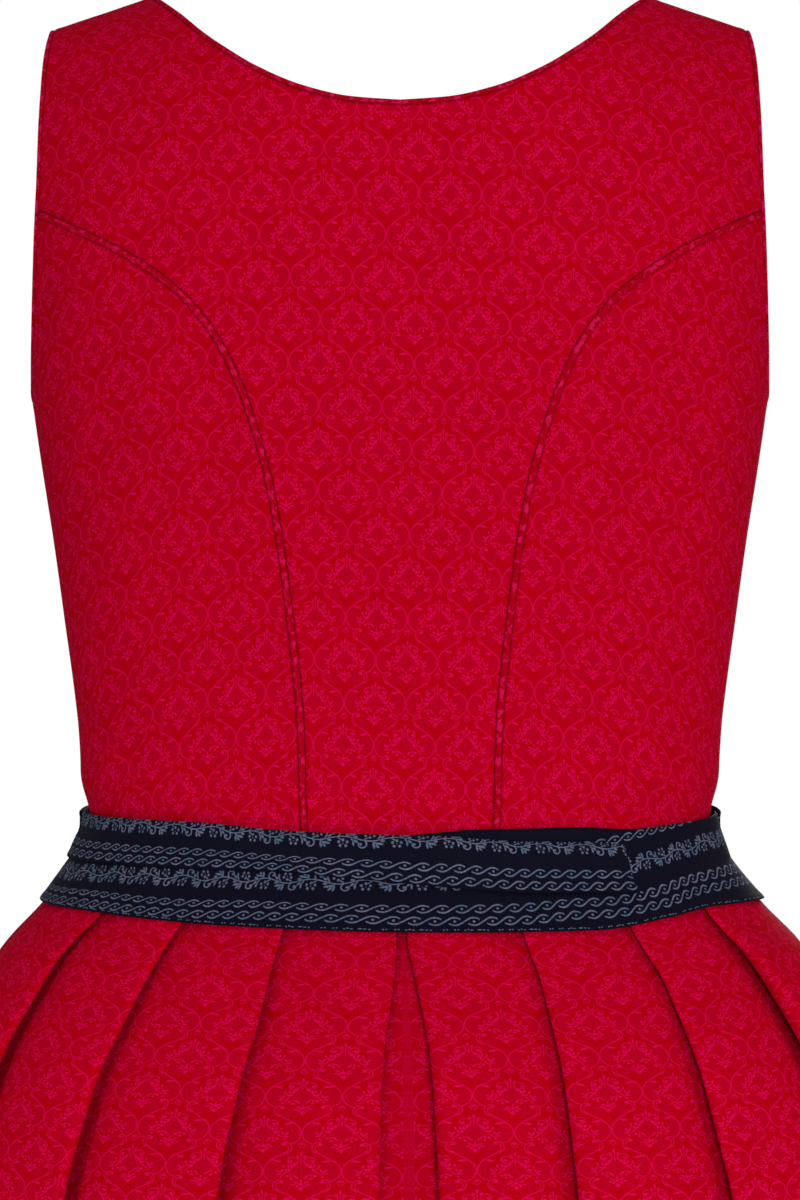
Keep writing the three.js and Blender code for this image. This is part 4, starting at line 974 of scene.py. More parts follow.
def bodice_panel(name, node, side, domain, seams, rims, print_at, lift=None, plain=()):
    P = form_point(side, domain[..., 0], domain[..., 1])
    N = form_normal(side, domain[..., 0], domain[..., 1])
    d_seam = np.full(P.shape[:2], 99.0)
    for line in seams:
        d_seam = np.minimum(d_seam, nearest(P, line).reshape(P.shape[:2]))
    d_rim = np.full(P.shape[:2], 99.0)
    for line in rims:
        d_rim = np.minimum(d_rim, nearest(P, line).reshape(P.shape[:2]))
    d_plain = np.full(P.shape[:2], 99.0)
    for line in plain:
        d_plain = np.minimum(d_plain, nearest(P, line).reshape(P.shape[:2]))
    o = crease_height(side, P) - 0.8 * np.exp(-(d_plain / 1.1) ** 2)
    # the cloth rises a little beside the piping and turns in at the seam
    o += 0.28 * np.exp(-((d_seam - 4.0) / 2.6) ** 2) - 1.15 * np.exp(-(d_seam / 1.25) ** 2)
    o += 0.15 * np.exp(-((d_rim - 3.4) / 1.6) ** 2) - 0.75 * np.exp(-(d_rim / 1.0) ** 2)
    if lift is not None:
        o += lift(P[..., 0])
    outer = P + N * (o + SHELL / 2)[..., None]
    inner = P + N * (o - SHELL / 2)[..., None]
    U, V = lengths_at(side, domain)
    seen_right = -U if side == BACK else U
    u0, z0, deg = print_at
    v_ref = lengths_at(side, at_x(np.array([abs(u0) if abs(u0) < 60 else 60.0]), np.array([z0])))[1][0]
    uv = grain(seen_right, V, u0, v_ref, deg)
    # distance to seams and rims, which the red cloth uses to paint shade beside them
    edge = np.minimum(np.minimum(d_seam + 0.45, d_rim + 0.75), d_plain + 1.7)
    o_ = wall(name, outer, inner, uv, dict(edge=edge), [RED_BODICE])
    finish_piece(o_, [node])
    e1, e2 = outer[1:, :-1] - outer[:-1, :-1], outer[:-1, 1:] - outer[:-1, :-1]
    PANEL_AREA[name] = float(np.linalg.norm(np.cross(e1, e2), axis=-1).sum()) * 1e-6
    w = U.max() - U.min()
    l = V.max() - V.min()
    return o_, w * 0.001, l * 0.001


def seam_line(side, pts, hand=1):
    P = form_point(side, pts[:, 0], pts[:, 1])
    return P * np.array([hand, 1, 1])


sheets = []   # object, width, length, held, rests_on, with


def shrink_shoulder(side):
    """Shoulder seam between the two edge cords."""
    E = EDGES[side]
    a, b = E["armu_in"][0, 0], E["neck_in"][0, 0]
    return lambda t: np.stack([a + (b - a) * t, np.full_like(t, 0.15)], -1)


def back_center():
    E = EDGES[BACK]
    sh = shrink_shoulder(BACK)(np.linspace(0, 1, 40))
    top_half = np.concatenate([sh, E["neck_in"][1:]])
    top = np.concatenate([top_half, mirrored(top_half[::-1])[1:]])
    prin = inset_curve(E["prin"], BACK, HALF, form_point(BACK, 0.0, float(drop_to_v(250))))
    left = np.concatenate([E["armu_in"], prin[1:]])
    cols, rows = 176, 130
    n = len(top_half) - 1
    top = resample(top, BACK, crowd(cols), (39, n, 2 * n - 39))
    left = resample(left, BACK, crowd(rows), (len(E["armu_in"]) - 1,))
    left[0], top[-1] = top[0], mirrored(top[0])
    # columns keep their share of the width; rows follow the neckline, and level out below it
    share = np.sin(top[:, 0]) / np.sin(top[0, 0])
    om = np.arcsin(share[None] * np.sin(left[:, 0])[:, None])
    down = ((left[:, 1] - left[0, 1]) / (left[-1, 1] - left[0, 1]))[:, None]
    bend = (top[:, 1] - top[0, 1])[None]
    calm = bend.max() * (1 - np.abs(share) ** 1.6)[None]
    low_bend = (waist_at(om[-1])[:, 1] - left[-1, 1])[None]
    v = left[:, 1:] + (1 - down) ** 2 * calm + (1 - down) ** 15 * (bend - calm) + down ** 2 * low_bend
    D = np.stack([om, v], -1)
    seams = [seam_line(BACK, E["prin"]), seam_line(BACK, E["prin"], -1),
             form_point(BACK, np.linspace(0.6, 1.2, 50), np.full(50, 0.0)), form_point(BACK, -np.linspace(0.6, 1.2, 50), np.full(50, 0.0))]
    rims = [seam_line(BACK, E["neck_in"]), seam_line(BACK, E["neck_in"], -1), seam_line(BACK, E["armu_in"]), seam_line(BACK, E["armu_in"], -1)]
    return bodice_panel("cloth_back_center", "back_center", BACK, D, seams, rims, (7.30, -150.0, 1.5))


def side_panel(tag, side, curves, hand, print_at):
    E = EDGES[side]
    far = form_point(side, math.radians(75), float(drop_to_v(250)))
    prin = inset_curve(E["prin"], side, HALF, far)
    arm = E["arml_in"].copy()
    top = np.concatenate([prin[:1], arm[4:]])
    cols, rows = 66, 100
    fr, fl = crowd(cols), crowd(rows)
    top = resample(top, side, fr)
    left = resample(prin, side, fl)
    end = top[-1]
    z_end = float(form_point(side, *end)[2])
    b = math.pi / 2 - 1.2e-3
    right = at_angle(np.full(rows + 1, b), z_end + (WAIST_Z - z_end) * fl)
    top[-1] = right[0]
    bottom = waist_at(left[-1, 0] + (b - left[-1, 0]) * fr)
    D = patch(top, bottom, left, right, fr, fl)
    if hand < 0:
        D = D * np.array([-1.0, 1.0])
    h = hand
    seams = [seam_line(side, E["prin"], h)]
    rims = [seam_line(side, E["arml_in"][4:], h)]
    name = f"side_{tag}_{'left' if hand > 0 else 'right'}"
    return bodice_panel("cloth_" + name, name, side, D, seams, rims, print_at, plain=[seam_line(side, SIDE_SEAM, h)])


def overlap_lift(x):
    return OVERLAP_LIFT * smoothstep(x, -OVERLAP_HALF - 22, -OVERLAP_HALF - 1)


NECK_LOW_Z = NECK_FRONT[-1][1]
NECK_END = FRONT_CURVES.neck_at_x(OVERLAP_HALF)


def front_neck():
    """The front neckline of the left half, on past the centre to the end of the button stand."""
    n = FRONT_CURVES.neck(T400, NECK_END)
    tip = at_x(np.array([-OVERLAP_HALF]), np.array([NECK_LOW_Z]))
    add = n[-1] + (tip[0] - n[-1]) * np.linspace(0, 1, 30)[1:, None]
    return np.concatenate([n, add])


def center_front(tag, hand, print_at):
    E = EDGES[FRONT]
    neck = inset_curve(front_neck(), FRONT, EDGE_INSET, form_point(FRONT, *at_x(60.0, -260.0)))
    z0 = float(form_point(FRONT, *neck[-1])[2])
    edge_z = z0 + (WAIST_Z - z0) * np.linspace(0, 1, 120)[1:]
    edge = at_x(np.full(119, -OVERLAP_HALF), edge_z)
    right = np.concatenate([neck, edge])
    prin = inset_curve(E["prin"], FRONT, HALF, form_point(FRONT, *at_x(20.0, -300.0)))
    left = np.concatenate([E["armu_in"], prin[1:]])
    cols, rows = 68, 112
    fr = crowd(cols)
    # rows of both edges keep the corner where the neckline turns down
    left, right = resample(left, FRONT, crowd(rows, keep=0.6)), resample(right, FRONT, crowd(rows, keep=0.6))
    sh = shrink_shoulder(FRONT)
    left[0], right[0] = sh(np.array([0.0]))[0], sh(np.array([1.0]))[0]
    top = sh(fr)
    ts = (heights_fraction(left, FRONT) + heights_fraction(right, FRONT)) / 2
    bottom = waist_at(left[-1, 0] + (right[-1, 0] - left[-1, 0]) * fr)
    D = patch(top, bottom, left, right, fr, ts)
    if hand < 0:
        D = D * np.array([-1.0, 1.0])
    seams = [seam_line(FRONT, E["prin"], hand), form_point(FRONT, np.linspace(0.6, 1.2, 50) * hand, np.full(50, 0.0))]
    cf = form_point(FRONT, *at_x(np.full(60, -OVERLAP_HALF), np.linspace(z0, WAIST_Z, 60)).T) * np.array([hand, 1, 1])
    rims = [seam_line(FRONT, neck, hand), seam_line(FRONT, E["armu_in"], hand)]
    name = f"center_front_{'left' if hand > 0 else 'right'}"
    return bodice_panel("cloth_" + name, name, FRONT, D, seams, rims, print_at, overlap_lift if hand < 0 else None)


# ------------------------------------------------------------------ piping and edge cords
PIPING_RADIUS, PIPING_LIFT = 1.5, 0.75


def on_form(side, pts, lift):
    return form_point(side, pts[:, 0], pts[:, 1]) + form_normal(side, pts[:, 0], pts[:, 1]) * np.asarray(lift)[..., None]


def cut_ends(P, a, b):
    L = np.r_[0, np.cumsum(np.linalg.norm(np.diff(P, axis=0), axis=1))]
    s = np.linspace(a, L[-1] - b, max(int((L[-1] - a - b) / 2.2), 8))
    return np.stack([np.interp(s, L, P[:, k]) for k in range(3)], -1)


def rim_cord(side, pts, toward):
    """The cord's centre line: its radius inside the rim."""
    q = inset_curve(pts, side, EDGE_CORD_RADIUS, toward)
    return form_point(side, q[:, 0], q[:, 1])


def princess_piping(side, tag, hand):
    pts = EDGES[side]["prin"]
    P = on_form(side, pts, np.full(len(pts), PIPING_LIFT) + crease_height(side, form_point(side, pts[:, 0], pts[:, 1]) * np.array([hand, 1, 1])))
    P = P * np.array([hand, 1, 1])
    name = f"piping_{tag}_{'left' if hand > 0 else 'right'}"
    o = tube("cord_" + name, cut_ends(P, 1.2, 0.4), PIPING_RADIUS, [RED_CORD], 14, bumps=0.03)
    return finish_piece(o, [name])


def edge_cords():
    made = {}
    m = np.array([-1.0, 1, 1])
    b = rim_cord(BACK, EDGES[BACK]["neck"], form_point(BACK, *at_x(90.0, -160.0)))
    f = rim_cord(FRONT, front_neck(), form_point(FRONT, *at_x(120.0, -160.0)))
    right_front = f * m
    right_front[:, 1] -= overlap_lift(right_front[:, 0])
    # from the left front, round the back, to the end of the right front on top
    path = np.concatenate([f[::-1][30:], b[1:], (b[::-1] * m)[1:], right_front[1:]])
    made["neck_piping"] = tube("cord_neck_piping", cut_ends(path, 0.8, 0.4), EDGE_CORD_RADIUS * 1.04, [RED_CORD], 12, bumps=0.02)
    for hand, tag in ((1, "left"), (-1, "right")):
        h = np.array([hand, 1, 1])
        loops = []
        for side in (BACK, FRONT):
            E = EDGES[side]
            up = rim_cord(side, E["armu"], form_point(side, *at_x(60.0, -120.0)))
            lo = rim_cord(side, E["arml"], form_point(side, *at_x(100.0, -320.0)))
            loops.append(np.concatenate([up, lo[1:]]))
        path = np.concatenate([loops[0][::-1], loops[1][1:]]) * h
        made[f"armhole_piping_{tag}"] = tube(f"cord_armhole_piping_{tag}", cut_ends(path, 0.4, 0.4), EDGE_CORD_RADIUS * 1.04, [RED_CORD], 12, bumps=0.02)
    for k, o in made.items():
        finish_piece(o, [k])
    return made


# ------------------------------------------------------------------ rings round the body, below the waist
def ring_point(theta, z, off):
    theta, z, off = np.broadcast_arrays(np.asarray(theta, float), np.asarray(z, float), np.asarray(off, float))

    def at(t):
        s, c = np.sin(t), roundness(np.sin(t), z)
        return np.stack([half_width(z) * s, np.where(np.cos(t) >= 0, back_depth(z), -front_depth(z)) * c, z], -1)
    p, d = at(theta), unit(at(theta + 2e-3) - at(theta - 2e-3))
    return p + np.stack([-d[..., 1], d[..., 0], np.zeros_like(off)], -1) * off[..., None]


def ring_speed(theta, z):
    return np.linalg.norm(ring_point(theta + 1e-3, z, 0) - ring_point(theta - 1e-3, z, 0), axis=-1) / 2e-3


# ------------------------------------------------------------------ skirt
settle_at, underlap_at, lift_at = (smooth(column(SKIRT_ROWS, 0), column(SKIRT_ROWS, k)) for k in (1, 2, 3))
SKIRT_Z = np.concatenate([np.arange(-384.8, -600, -3.9), np.linspace(-601, HEM_Z, 44)])


def bspline(C, per):
    """Uniform cubic B-spline through the control rows C (n, ...), per points for each stretch."""
    C = np.concatenate([2 * C[:1] - C[1:2], C, 2 * C[-1:] - C[-2:-1]])
    n = len(C) - 3
    t = np.arange(n * per + 1) / per
    k = np.minimum(t.astype(int), n - 1)
    f = (t - k)[(...,) + (None,) * (C.ndim - 1)]
    w = [(1 - f) ** 3 / 6, (3 * f ** 3 - 6 * f ** 2 + 4) / 6, (-3 * f ** 3 + 3 * f ** 2 + 3 * f + 1) / 6, f ** 3 / 6]
    return sum(w[i] * C[k + i] for i in range(4))


def drape(theta, z, front):
    """The slow waves of the whole skirt, in mm outwards. The same for every layer at one place."""
    a = smoothstep(-z, 430, 1000)
    ph = 1.9 if front else 0.0
    w = (2.4 * np.sin(5 * theta + 0.9 + ph + 0.0016 * z) + 1.7 * np.sin(8 * theta + 2.1 - ph + 0.0024 * z)
         + 1.0 * np.sin(13 * theta + 0.3 + 0.0040 * z))
    return a * w


def side_puff(theta, z):
    """The skirt springs out a little below the band at the wearer's right side."""
    away = (np.asarray(theta) + math.pi / 2 + math.pi) % (2 * math.pi) - math.pi
    return 2.4 * np.exp(-((z + 427) / 13) ** 2 - (away / 0.45) ** 2)


def skirt_half(name, node, pleats, front, print_deg):
    wob = np.random.default_rng(11 if front else 5)
    R = len(SKIRT_Z)
    rows = []
    marks = []
    z = SKIRT_Z
    st, ul, h0 = settle_at(z), underlap_at(z), lift_at(z)
    below = -z - 422.0
    for hand in (1, -1):
        lst = sorted([p for p in pleats if p[0] == hand], key=lambda p: -p[1])
        ctrl = []
        fold_index = []
        es, hs = [], []
        for p in lst:
            run = FOLDS_BACK.get(p[:2]) if not front else None
            if run:
                low = [(h, p[1] + (p[2] - p[1]) * float(settle_at(np.array([h]))[0])) for h in (-620.0, -760.0, -900.0, HEM_Z)]
                run = [(-384.0, p[1])] + run + low
                e = np.radians(smooth(column(run, 0), column(run, 1))(z))
            else:
                e = np.radians(p[1] + (p[2] - p[1]) * st)
            # fold lines are not quite straight
            a1, a2, ph1, ph2 = wob.uniform(0.3, 0.9), wob.uniform(0.1, 0.35), wob.uniform(0, 6.28), wob.uniform(0, 6.28)
            speed = ring_speed(np.where(front, math.pi - e, e), z)
            grow = smoothstep(below, 120, 240) if run else smoothstep(below, 0, 120)
            e = e + (a1 * np.sin(below / 62 + ph1) + a2 * np.sin(below / 23 + ph2)) * grow / speed * (1 + below / 260)
            k = wob.uniform(0.92, 1.12)
            stand = p[4]
            bulge = stand * (6.4 * np.exp(-((z + 450) / 30) ** 2) + 2.2 * np.exp(-((z + 530) / 60) ** 2)) * smoothstep(below, 0, 20)
            es.append((e, speed))
            hs.append(h0 * k + bulge)
        for i, (p, (e, sp), h) in enumerate(zip(lst, es, hs)):
            u = ul / sp
            mm = 1.0 / sp
            lo = h0                              # depth of the layers below
            wave = p[4] * 1.6 * np.sin(below / 9.5 + 0.6) * np.exp(-((z + 470) / 40) ** 2) * mm
            if i == 0:
                edge = math.pi / 2 - HALF / ring_speed(math.pi / 2, z)
                span = edge - (e + u)
                ctrl += [(edge, h * 0.6), (edge - 0.12 * span, h * 0.62), (edge - 0.35 * span, h * 0.75), (edge - 0.65 * span, h * 0.9), (e + u, h)]
            ctrl += [(e + 14 * mm, h * 1.0), (e + 8 * mm, h * 1.03), (e + 4 * mm + 0.3 * wave, h * 1.05), (e + 1.2 * mm + 0.7 * wave, h * 1.02)]
            fold_index.append(len(ctrl))
            ctrl += [(e - 0.6 * mm + wave, h * 0.62), (e + 0.2 * mm + 0.8 * wave, h * 0.16 ), (e + 3.5 * mm, h * 0.02), (e + 8 * mm, 0 * h),
                     (e + 0.6 * u, 0 * h), (e + u - 3 * mm, -0.04 * h), (e + u - 0.2 * mm, -0.25 * lo), (e + u + 0.5 * mm, -0.55 * lo),
                     (e + u - 0.2 * mm, -0.85 * lo), (e + u - 3 * mm, -1.0 * lo), (e + 0.55 * u, -1.0 * lo)]
            if i < len(lst) - 1:
                e2, sp2 = es[i + 1]
                h2 = hs[i + 1]
                gap = e - e2
                ctrl += [(e + 3 * mm, -1.0 * lo), (e - 0.5 * mm, -0.92 * lo), (e - 4 * mm, -0.58 * lo), (e - 0.17 * gap, -0.02 * lo),
                         (e - 0.32 * gap, 0.46 * h2), (e - 0.52 * gap, 0.78 * h2), (e - 0.72 * gap, 0.94 * h2)]
            else:
                ctrl += [(e + 2 * mm, -1.0 * lo), (e * 0.35, -1.02 * lo)]
        C = np.stack([np.stack([np.broadcast_to(c[0], z.shape) * hand, np.broadcast_to(c[1], z.shape)], -1) for c in ctrl])
        rows.append(C if hand > 0 else C[::-1])
        marks.append([(f, p[3], p[0], (e, p[4])) for f, p, e in zip(fold_index, lst, es)] if hand > 0
                     else [(len(ctrl) - 1 - f, p[3], p[0], (e, p[4])) for f, p, e in zip(fold_index, lst, es)][::-1])
    nC1 = len(rows[0])
    C = np.concatenate(rows)                       # (controls, rows, 2)
    per = 2
    S = bspline(C, per)                            # (columns, rows, 2)
    theta = np.where(front, math.pi - S[..., 0], S[..., 0])
    Z = np.broadcast_to(z, theta.shape)
    off = S[..., 1] + drape(theta, Z, front) + side_puff(theta, Z)
    P = ring_point(theta, Z, off)
    cols = P.shape[0]
    T = np.gradient(P, axis=0)
    n2 = unit(np.stack([T[..., 1], -T[..., 0], np.zeros(T.shape[:2])], -1))
    if front:
        n2 = n2
    # thickness, doubled in the turned-up hem
    th = CLOTH / 2 * (1 + 0.9 * smoothstep(-Z, -HEM_Z - 32, -HEM_Z - 30))
    outer, inner = P + n2 * th[..., None], P - n2 * th[..., None]
    # cloth coordinates: along each pleat from its own fold edge, and down
    L = np.concatenate([np.zeros((1, R)), np.cumsum(np.linalg.norm(np.diff(P[..., :2], axis=0), axis=-1), axis=0)])
    D = np.concatenate([np.zeros((cols, 1)), np.cumsum(np.linalg.norm(np.diff(P, axis=1), axis=-1), axis=1)], 1)
    folds = [(f, s, hd) for f, s, hd, _ in marks[0]] + [(f + nC1, s, hd) for f, s, hd, _ in marks[1]]
    centre = nC1                                   # control index where the halves meet
    U = np.zeros_like(L)
    colsidx = np.arange(cols)
    ctrl_of = colsidx / per
    # each pleat owns the columns from the inner turn before it to the inner turn after it
    turn = 8
    for j, (f, s, hd) in enumerate(folds):
        if hd > 0:
            start = 0 if j == 0 else folds[j - 1][0] + turn
            end = f + turn if folds[j + 1][2] > 0 else centre
        else:
            end = cols if j == len(folds) - 1 else folds[j + 1][0] - turn
            start = f - turn if folds[j - 1][2] < 0 else centre
        sel = (ctrl_of >= start) & (ctrl_of < end)
        if hd > 0 and j == 0:
            sel |= ctrl_of < start
        if hd < 0 and j == len(folds) - 1:
            sel |= ctrl_of >= end
        ref = L[min(f * per, cols - 1)]
        U[sel] = (L[sel] - ref) + s
    uv = grain(U, D + (2.0 if front else 4.4), 0.0, 0.0, print_deg)
    # painted shade: the layer beside each fold is darkened in its colour, where little light reaches it; stronger
    # beside the folds of hand 1 than of hand -1, and more at the pleat that stands off
    fold_shade_paint = np.zeros_like(L)
    for (f, s, hd), (_, _, _, ((e, sp), stand)) in zip(folds, marks[0] + marks[1]):
        below_layer = (ctrl_of > f + 9.5) & (ctrl_of < f + 19.5) if hd > 0 else (ctrl_of < f - 9.5) & (ctrl_of > f - 19.5)
        away = np.maximum((e[None] - S[..., 0] * hd) * sp[None], 0)
        wide = 2.3 + 1.2 * stand * np.exp(-((z + 450) / 45) ** 2)
        k = ((0.44 if hd > 0 else 0.12) + 0.20 * stand) * (0.86 + 0.14 * np.sin(below / 31 + 1.7 * f)) * smoothstep(below, -2, 6)
        fold_shade_paint = np.where(below_layer[:, None], np.maximum(fold_shade_paint, k * np.exp(-(away / wide) ** 1.4)), fold_shade_paint)
    back_to_front = lambda A: np.swapaxes(A, 0, 1)
    # distance to the side seams and the hem, which the red cloth uses to paint shade beside them
    near_edge = np.minimum(np.abs(L - L[0]), np.abs(L[-1] - L)) + 0.8
    hem = (Z - HEM_Z) + 0.8
    edge = np.minimum(near_edge, hem)
    o = wall(name, back_to_front(outer), back_to_front(inner), np.swapaxes(uv, 0, 1), dict(edge=back_to_front(edge), painted_fold_shade=back_to_front(fold_shade_paint)), [RED_SKIRT], sharp=60)
    finish_piece(o, [node])
    width = float(L[-1].max()) * 0.001
    length = float(D[:, -1].max()) * 0.001
    e1, e2 = P[1:, :-1] - P[:-1, :-1], P[:-1, 1:] - P[:-1, :-1]
    PANEL_AREA[name] = float(np.linalg.norm(np.cross(e1, e2), axis=-1).sum()) * 1e-6
    return o, width, length


# ------------------------------------------------------------------ apron band, ties and panel
# How far apart the print's eyes stand round the back, mm across as seen: the cloth is pulled and eased
EYE_SPACING = [(-150, 3.2), (-131, 4.2), (-118, 5.6), (-103, 6.3), (-94, 6.5), (-80, 6.6), (-61, 6.7), (-52, 7.4), (-45, 8.1),
               (-33, 8.7), (-19, 9.1), (0, 9.0), (19, 8.5), (33, 8.1), (47, 7.4), (66, 7.2), (94, 7.1),
               (106, 6.6), (118, 5.8), (132, 4.6), (141, 3.5), (150, 2.6)]


UNDER_PRINT = [  # across; from the lower edge: below the rows, row, row, vine's foot, vine, vine's top, next row, bare
    (-148.0, -3.0, 3.0, 7.4, 10.3, 15.2, 20.1, 27.3, 29.8), (-141.0, -2.8, 3.2, 7.7, 10.9, 15.8, 20.7, 27.9, 30.4),
    (-101.0, -2.4, 3.6, 8.1, 13.6, 18.5, 23.4, 30.6, 33.1), (-61.1, -1.0, 5.0, 9.9, 14.9, 19.8, 24.7, 31.9, 34.4),
    (-26.8, -0.8, 5.2, 9.8, 15.6, 20.5, 25.4, 32.6, 35.1), (23.5, -1.4, 4.6, 9.9, 16.6, 21.5, 26.4, 33.6, 36.1),
    (54.0, -1.0, 5.0, 10.3, 17.6, 22.5, 27.4, 34.6, 37.1), (79.0, 0.6, 6.6, 12.0, 18.6, 23.5, 28.4, 35.6, 38.1),
    (104.3, -0.1, 5.9, 10.8, 19.2, 24.1, 29.0, 36.2, 38.7), (117.5, -0.1, 5.9, 11.2, 19.6, 24.5, 29.4, 36.6, 39.1),
    (125.5, 0.7, 6.7, 11.9, 19.9, 24.8, 29.7, 36.9, 39.4), (133.5, 1.3, 7.3, 12.3, 20.2, 25.1, 30.0, 37.2, 39.7),
    (141.9, 1.8, 7.8, 12.8, 21.8, 26.7, 31.6, 38.8, 41.3), (148.0, 2.4, 8.4, 13.5, 22.9, 27.8, 32.7, 39.9, 42.4),
]
OVER_PRINT = [  # across; from the upper edge: edge, vine, vine's foot, row, row, below the rows
    (-148.0, 0.0, 2.1, 7.0, 13.1, 17.6, 23.2), (-141.0, 0.0, 2.1, 7.0, 13.1, 17.6, 23.2), (-101.0, 0.0, 2.1, 7.0, 13.1, 17.6, 23.2),
    (-61.1, 0.0, 2.1, 7.0, 12.2, 15.8, 21.4), (-26.8, 0.0, 2.0, 7.0, 12.2, 17.1, 22.7), (23.5, 0.0, 1.5, 6.2, 14.0, 19.6, 25.2),
    (54.0, 0.0, 1.5, 6.2, 14.0, 19.4, 25.0), (79.0, 0.0, 1.5, 6.2, 14.2, 19.6, 25.2), (104.3, 0.0, 1.5, 6.2, 13.5, 18.5, 24.1),
]


def band_surface(theta, z, off):
    """The waistband's place: straight between its own heights."""
    levels = np.array([BAND_TOP_Z, -388.0, -403.0, BAND_BOTTOM_Z])
    theta, z, off = np.broadcast_arrays(theta, z, off)
    k = np.clip(np.searchsorted(-levels, -z, side="right") - 1, 0, 2)
    a, b = ring_point(theta, levels[k], off), ring_point(theta, levels[k + 1], off)
    return a + (b - a) * ((z - levels[k]) / (levels[k + 1] - levels[k]))[..., None]


def seen_x(theta, z=-400.0):
    """Across as seen from behind, mm in the plane of the origin."""
    P = band_surface(theta, z, BAND_OFFSET)
    return -P[..., 0] * 2500 / (2500 - P[..., 1])


def print_height(table, values, x, d):
    """The print's height at distance d from the tie's edge: the rows of the table say where it lies at each x."""
    knots = np.stack([smooth(column(table, 0), column(table, k))(x) for k in range(1, len(table[0]))])
    return np.stack([np.interp(d[:, j], knots[:, j], values) for j in range(d.shape[1])], 1)


def band(name, node, thetas, top, bottom, offset, thick, print_row, wave, stretch=False, rows=30, start=None, turned=False,
         seam_ends=(False, False), mat=None):
    """A doubled, turned-through band with soft edges. print_row(d_top, d_bottom, thetas) gives the print's height,
    start the place where a flower of the vine stands, and turned says that the print is upside down."""
    fr = crowd(rows, keep=0.35)
    T, Fr = np.meshgrid(thetas, fr)
    zt, zb = top(thetas), bottom(thetas)
    Z = zt[None] + (zb - zt)[None] * Fr
    dt, db = (zt[None] - Z), (Z - zb[None])
    L = np.r_[0, np.cumsum(np.linalg.norm(np.diff(band_surface(thetas, -400.0, offset), axis=0), axis=1))]
    mid = int(np.argmin(np.abs(thetas - (0 if abs(thetas).min() < 0.1 else math.pi))))
    L = L - L[mid]
    if stretch:
        P0 = band_surface(thetas, -400.0, offset)
        x = -P0[:, 0] * 2500 / (2500 - P0[:, 1])     # across, as seen from behind
        spacing = smooth(column(EYE_SPACING, 0), column(EYE_SPACING, 1))
        dx = np.gradient(x)
        natural = np.maximum(8.6 * np.abs(dx) / np.maximum(np.abs(np.gradient(L)), 1e-6), 0.8)
        ratio = np.clip(natural / spacing(x), 0.9, 1.35)
        ratio = np.where(np.abs(x) > 138, 1.0, ratio)
        Lp = np.r_[0, np.cumsum(np.abs(np.diff(L)) * (ratio[1:] + ratio[:-1]) / 2)]
        Lp = np.sign(L[-1] - L[0]) * (Lp - Lp[mid])
    else:
        Lp = L
    d_end = np.minimum(np.abs(L - L[0]), np.abs(L[-1] - L))[None]
    near = np.minimum(dt, db)
    for flag, dist in zip(seam_ends, (np.abs(L - L[0])[None], np.abs(L[-1] - L)[None])):
        if not flag:
            near = np.minimum(near, dist)
    near = np.broadcast_to(near, Z.shape)
    r = thick / 2
    t_half = r * np.sqrt(np.clip(1 - (1 - np.clip(near / r, 0, 1)) ** 2, 0.02, 1))
    puff = 0.35 * np.exp(-((near - 1.6) / 1.2) ** 2)     # the turned edge is fuller
    off = offset + wave(T, Z, dt, db) + puff
    outer, inner = band_surface(T, Z, off + t_half), band_surface(T, Z, off - t_half)
    u = -Lp if thetas[mid] < 1 else Lp
    if start is not None:
        order = np.argsort(seen_x(thetas))
        u = u - np.interp(start, seen_x(thetas)[order], u[order])
    row = print_row(dt, db, thetas)
    if turned:
        u, row = -u, -row
    uv = np.stack([np.broadcast_to(u[None], Z.shape), row], -1) * 0.001
    o = wall(name, outer, inner, uv, dict(edge=near, from_edge=db), [mat or NAVY], sharp=60)
    finish_piece(o, [node])
    return o, abs(L[-1] - L[0]) * 0.001, float((zt - zb).max()) * 0.001


def ripple_set(seed, n, lo, hi):
    g = np.random.default_rng(seed)
    return [(g.uniform(lo, hi), g.uniform(0, 6.28), g.uniform(-0.02, 0.02), g.uniform(0.4, 1.0)) for _ in range(n)]


WAVES_A, WAVES_B = ripple_set(3, 5, 6, 26), ripple_set(8, 5, 5, 22)


def soft_wave(T, Z, waves, amp):
    return amp * sum(k * np.sin(f * T + p + s * (Z + 400) * f) for f, p, s, k in waves) / len(waves)


def under_wave(T, Z, dt, db):
    # the under tie is drawn in along a soft lengthwise crease under the over tie
    crease = -0.5 * np.exp(-((db - 18.5 - 1.5 * np.sin(2.2 * T)) / 1.7) ** 2)
    more = smoothstep(T, 0.9, 1.35)
    return soft_wave(T, Z, WAVES_A, 0.35) + crease - (1.9 + 1.2 * more) * np.exp(-(dt / (4.5 + 8.0 * more)) ** 1.5) + side_puff(T, Z)


def over_wave(T, Z, dt, db):
    sag = 0.45 * np.sin(math.pi * np.clip(dt / 21, 0, 1))
    crease = -0.45 * np.exp(-((dt - 9.0 - 2.2 * np.sin(1.7 * T + 0.6)) / 1.5) ** 2) * smoothstep(T, -0.2, 0.5)
    fold2 = 0.35 * np.exp(-((dt - 15.5 + 1.5 * np.sin(2.1 * T)) / 1.6) ** 2) * smoothstep(T, 0.1, 0.8)
    more = smoothstep(T, 0.9, 1.35)
    hug = (1.8 + 1.6 * more) * np.exp(-(dt / (4.0 + 8.0 * more)) ** 1.5) * smoothstep(T, -0.2, 0.3)
    return soft_wave(T, Z, WAVES_B, 0.22) + sag * (1 - 0.6 * more) + crease + fold2 * (1 - more) + 0.4 - 0.45 * more - hug


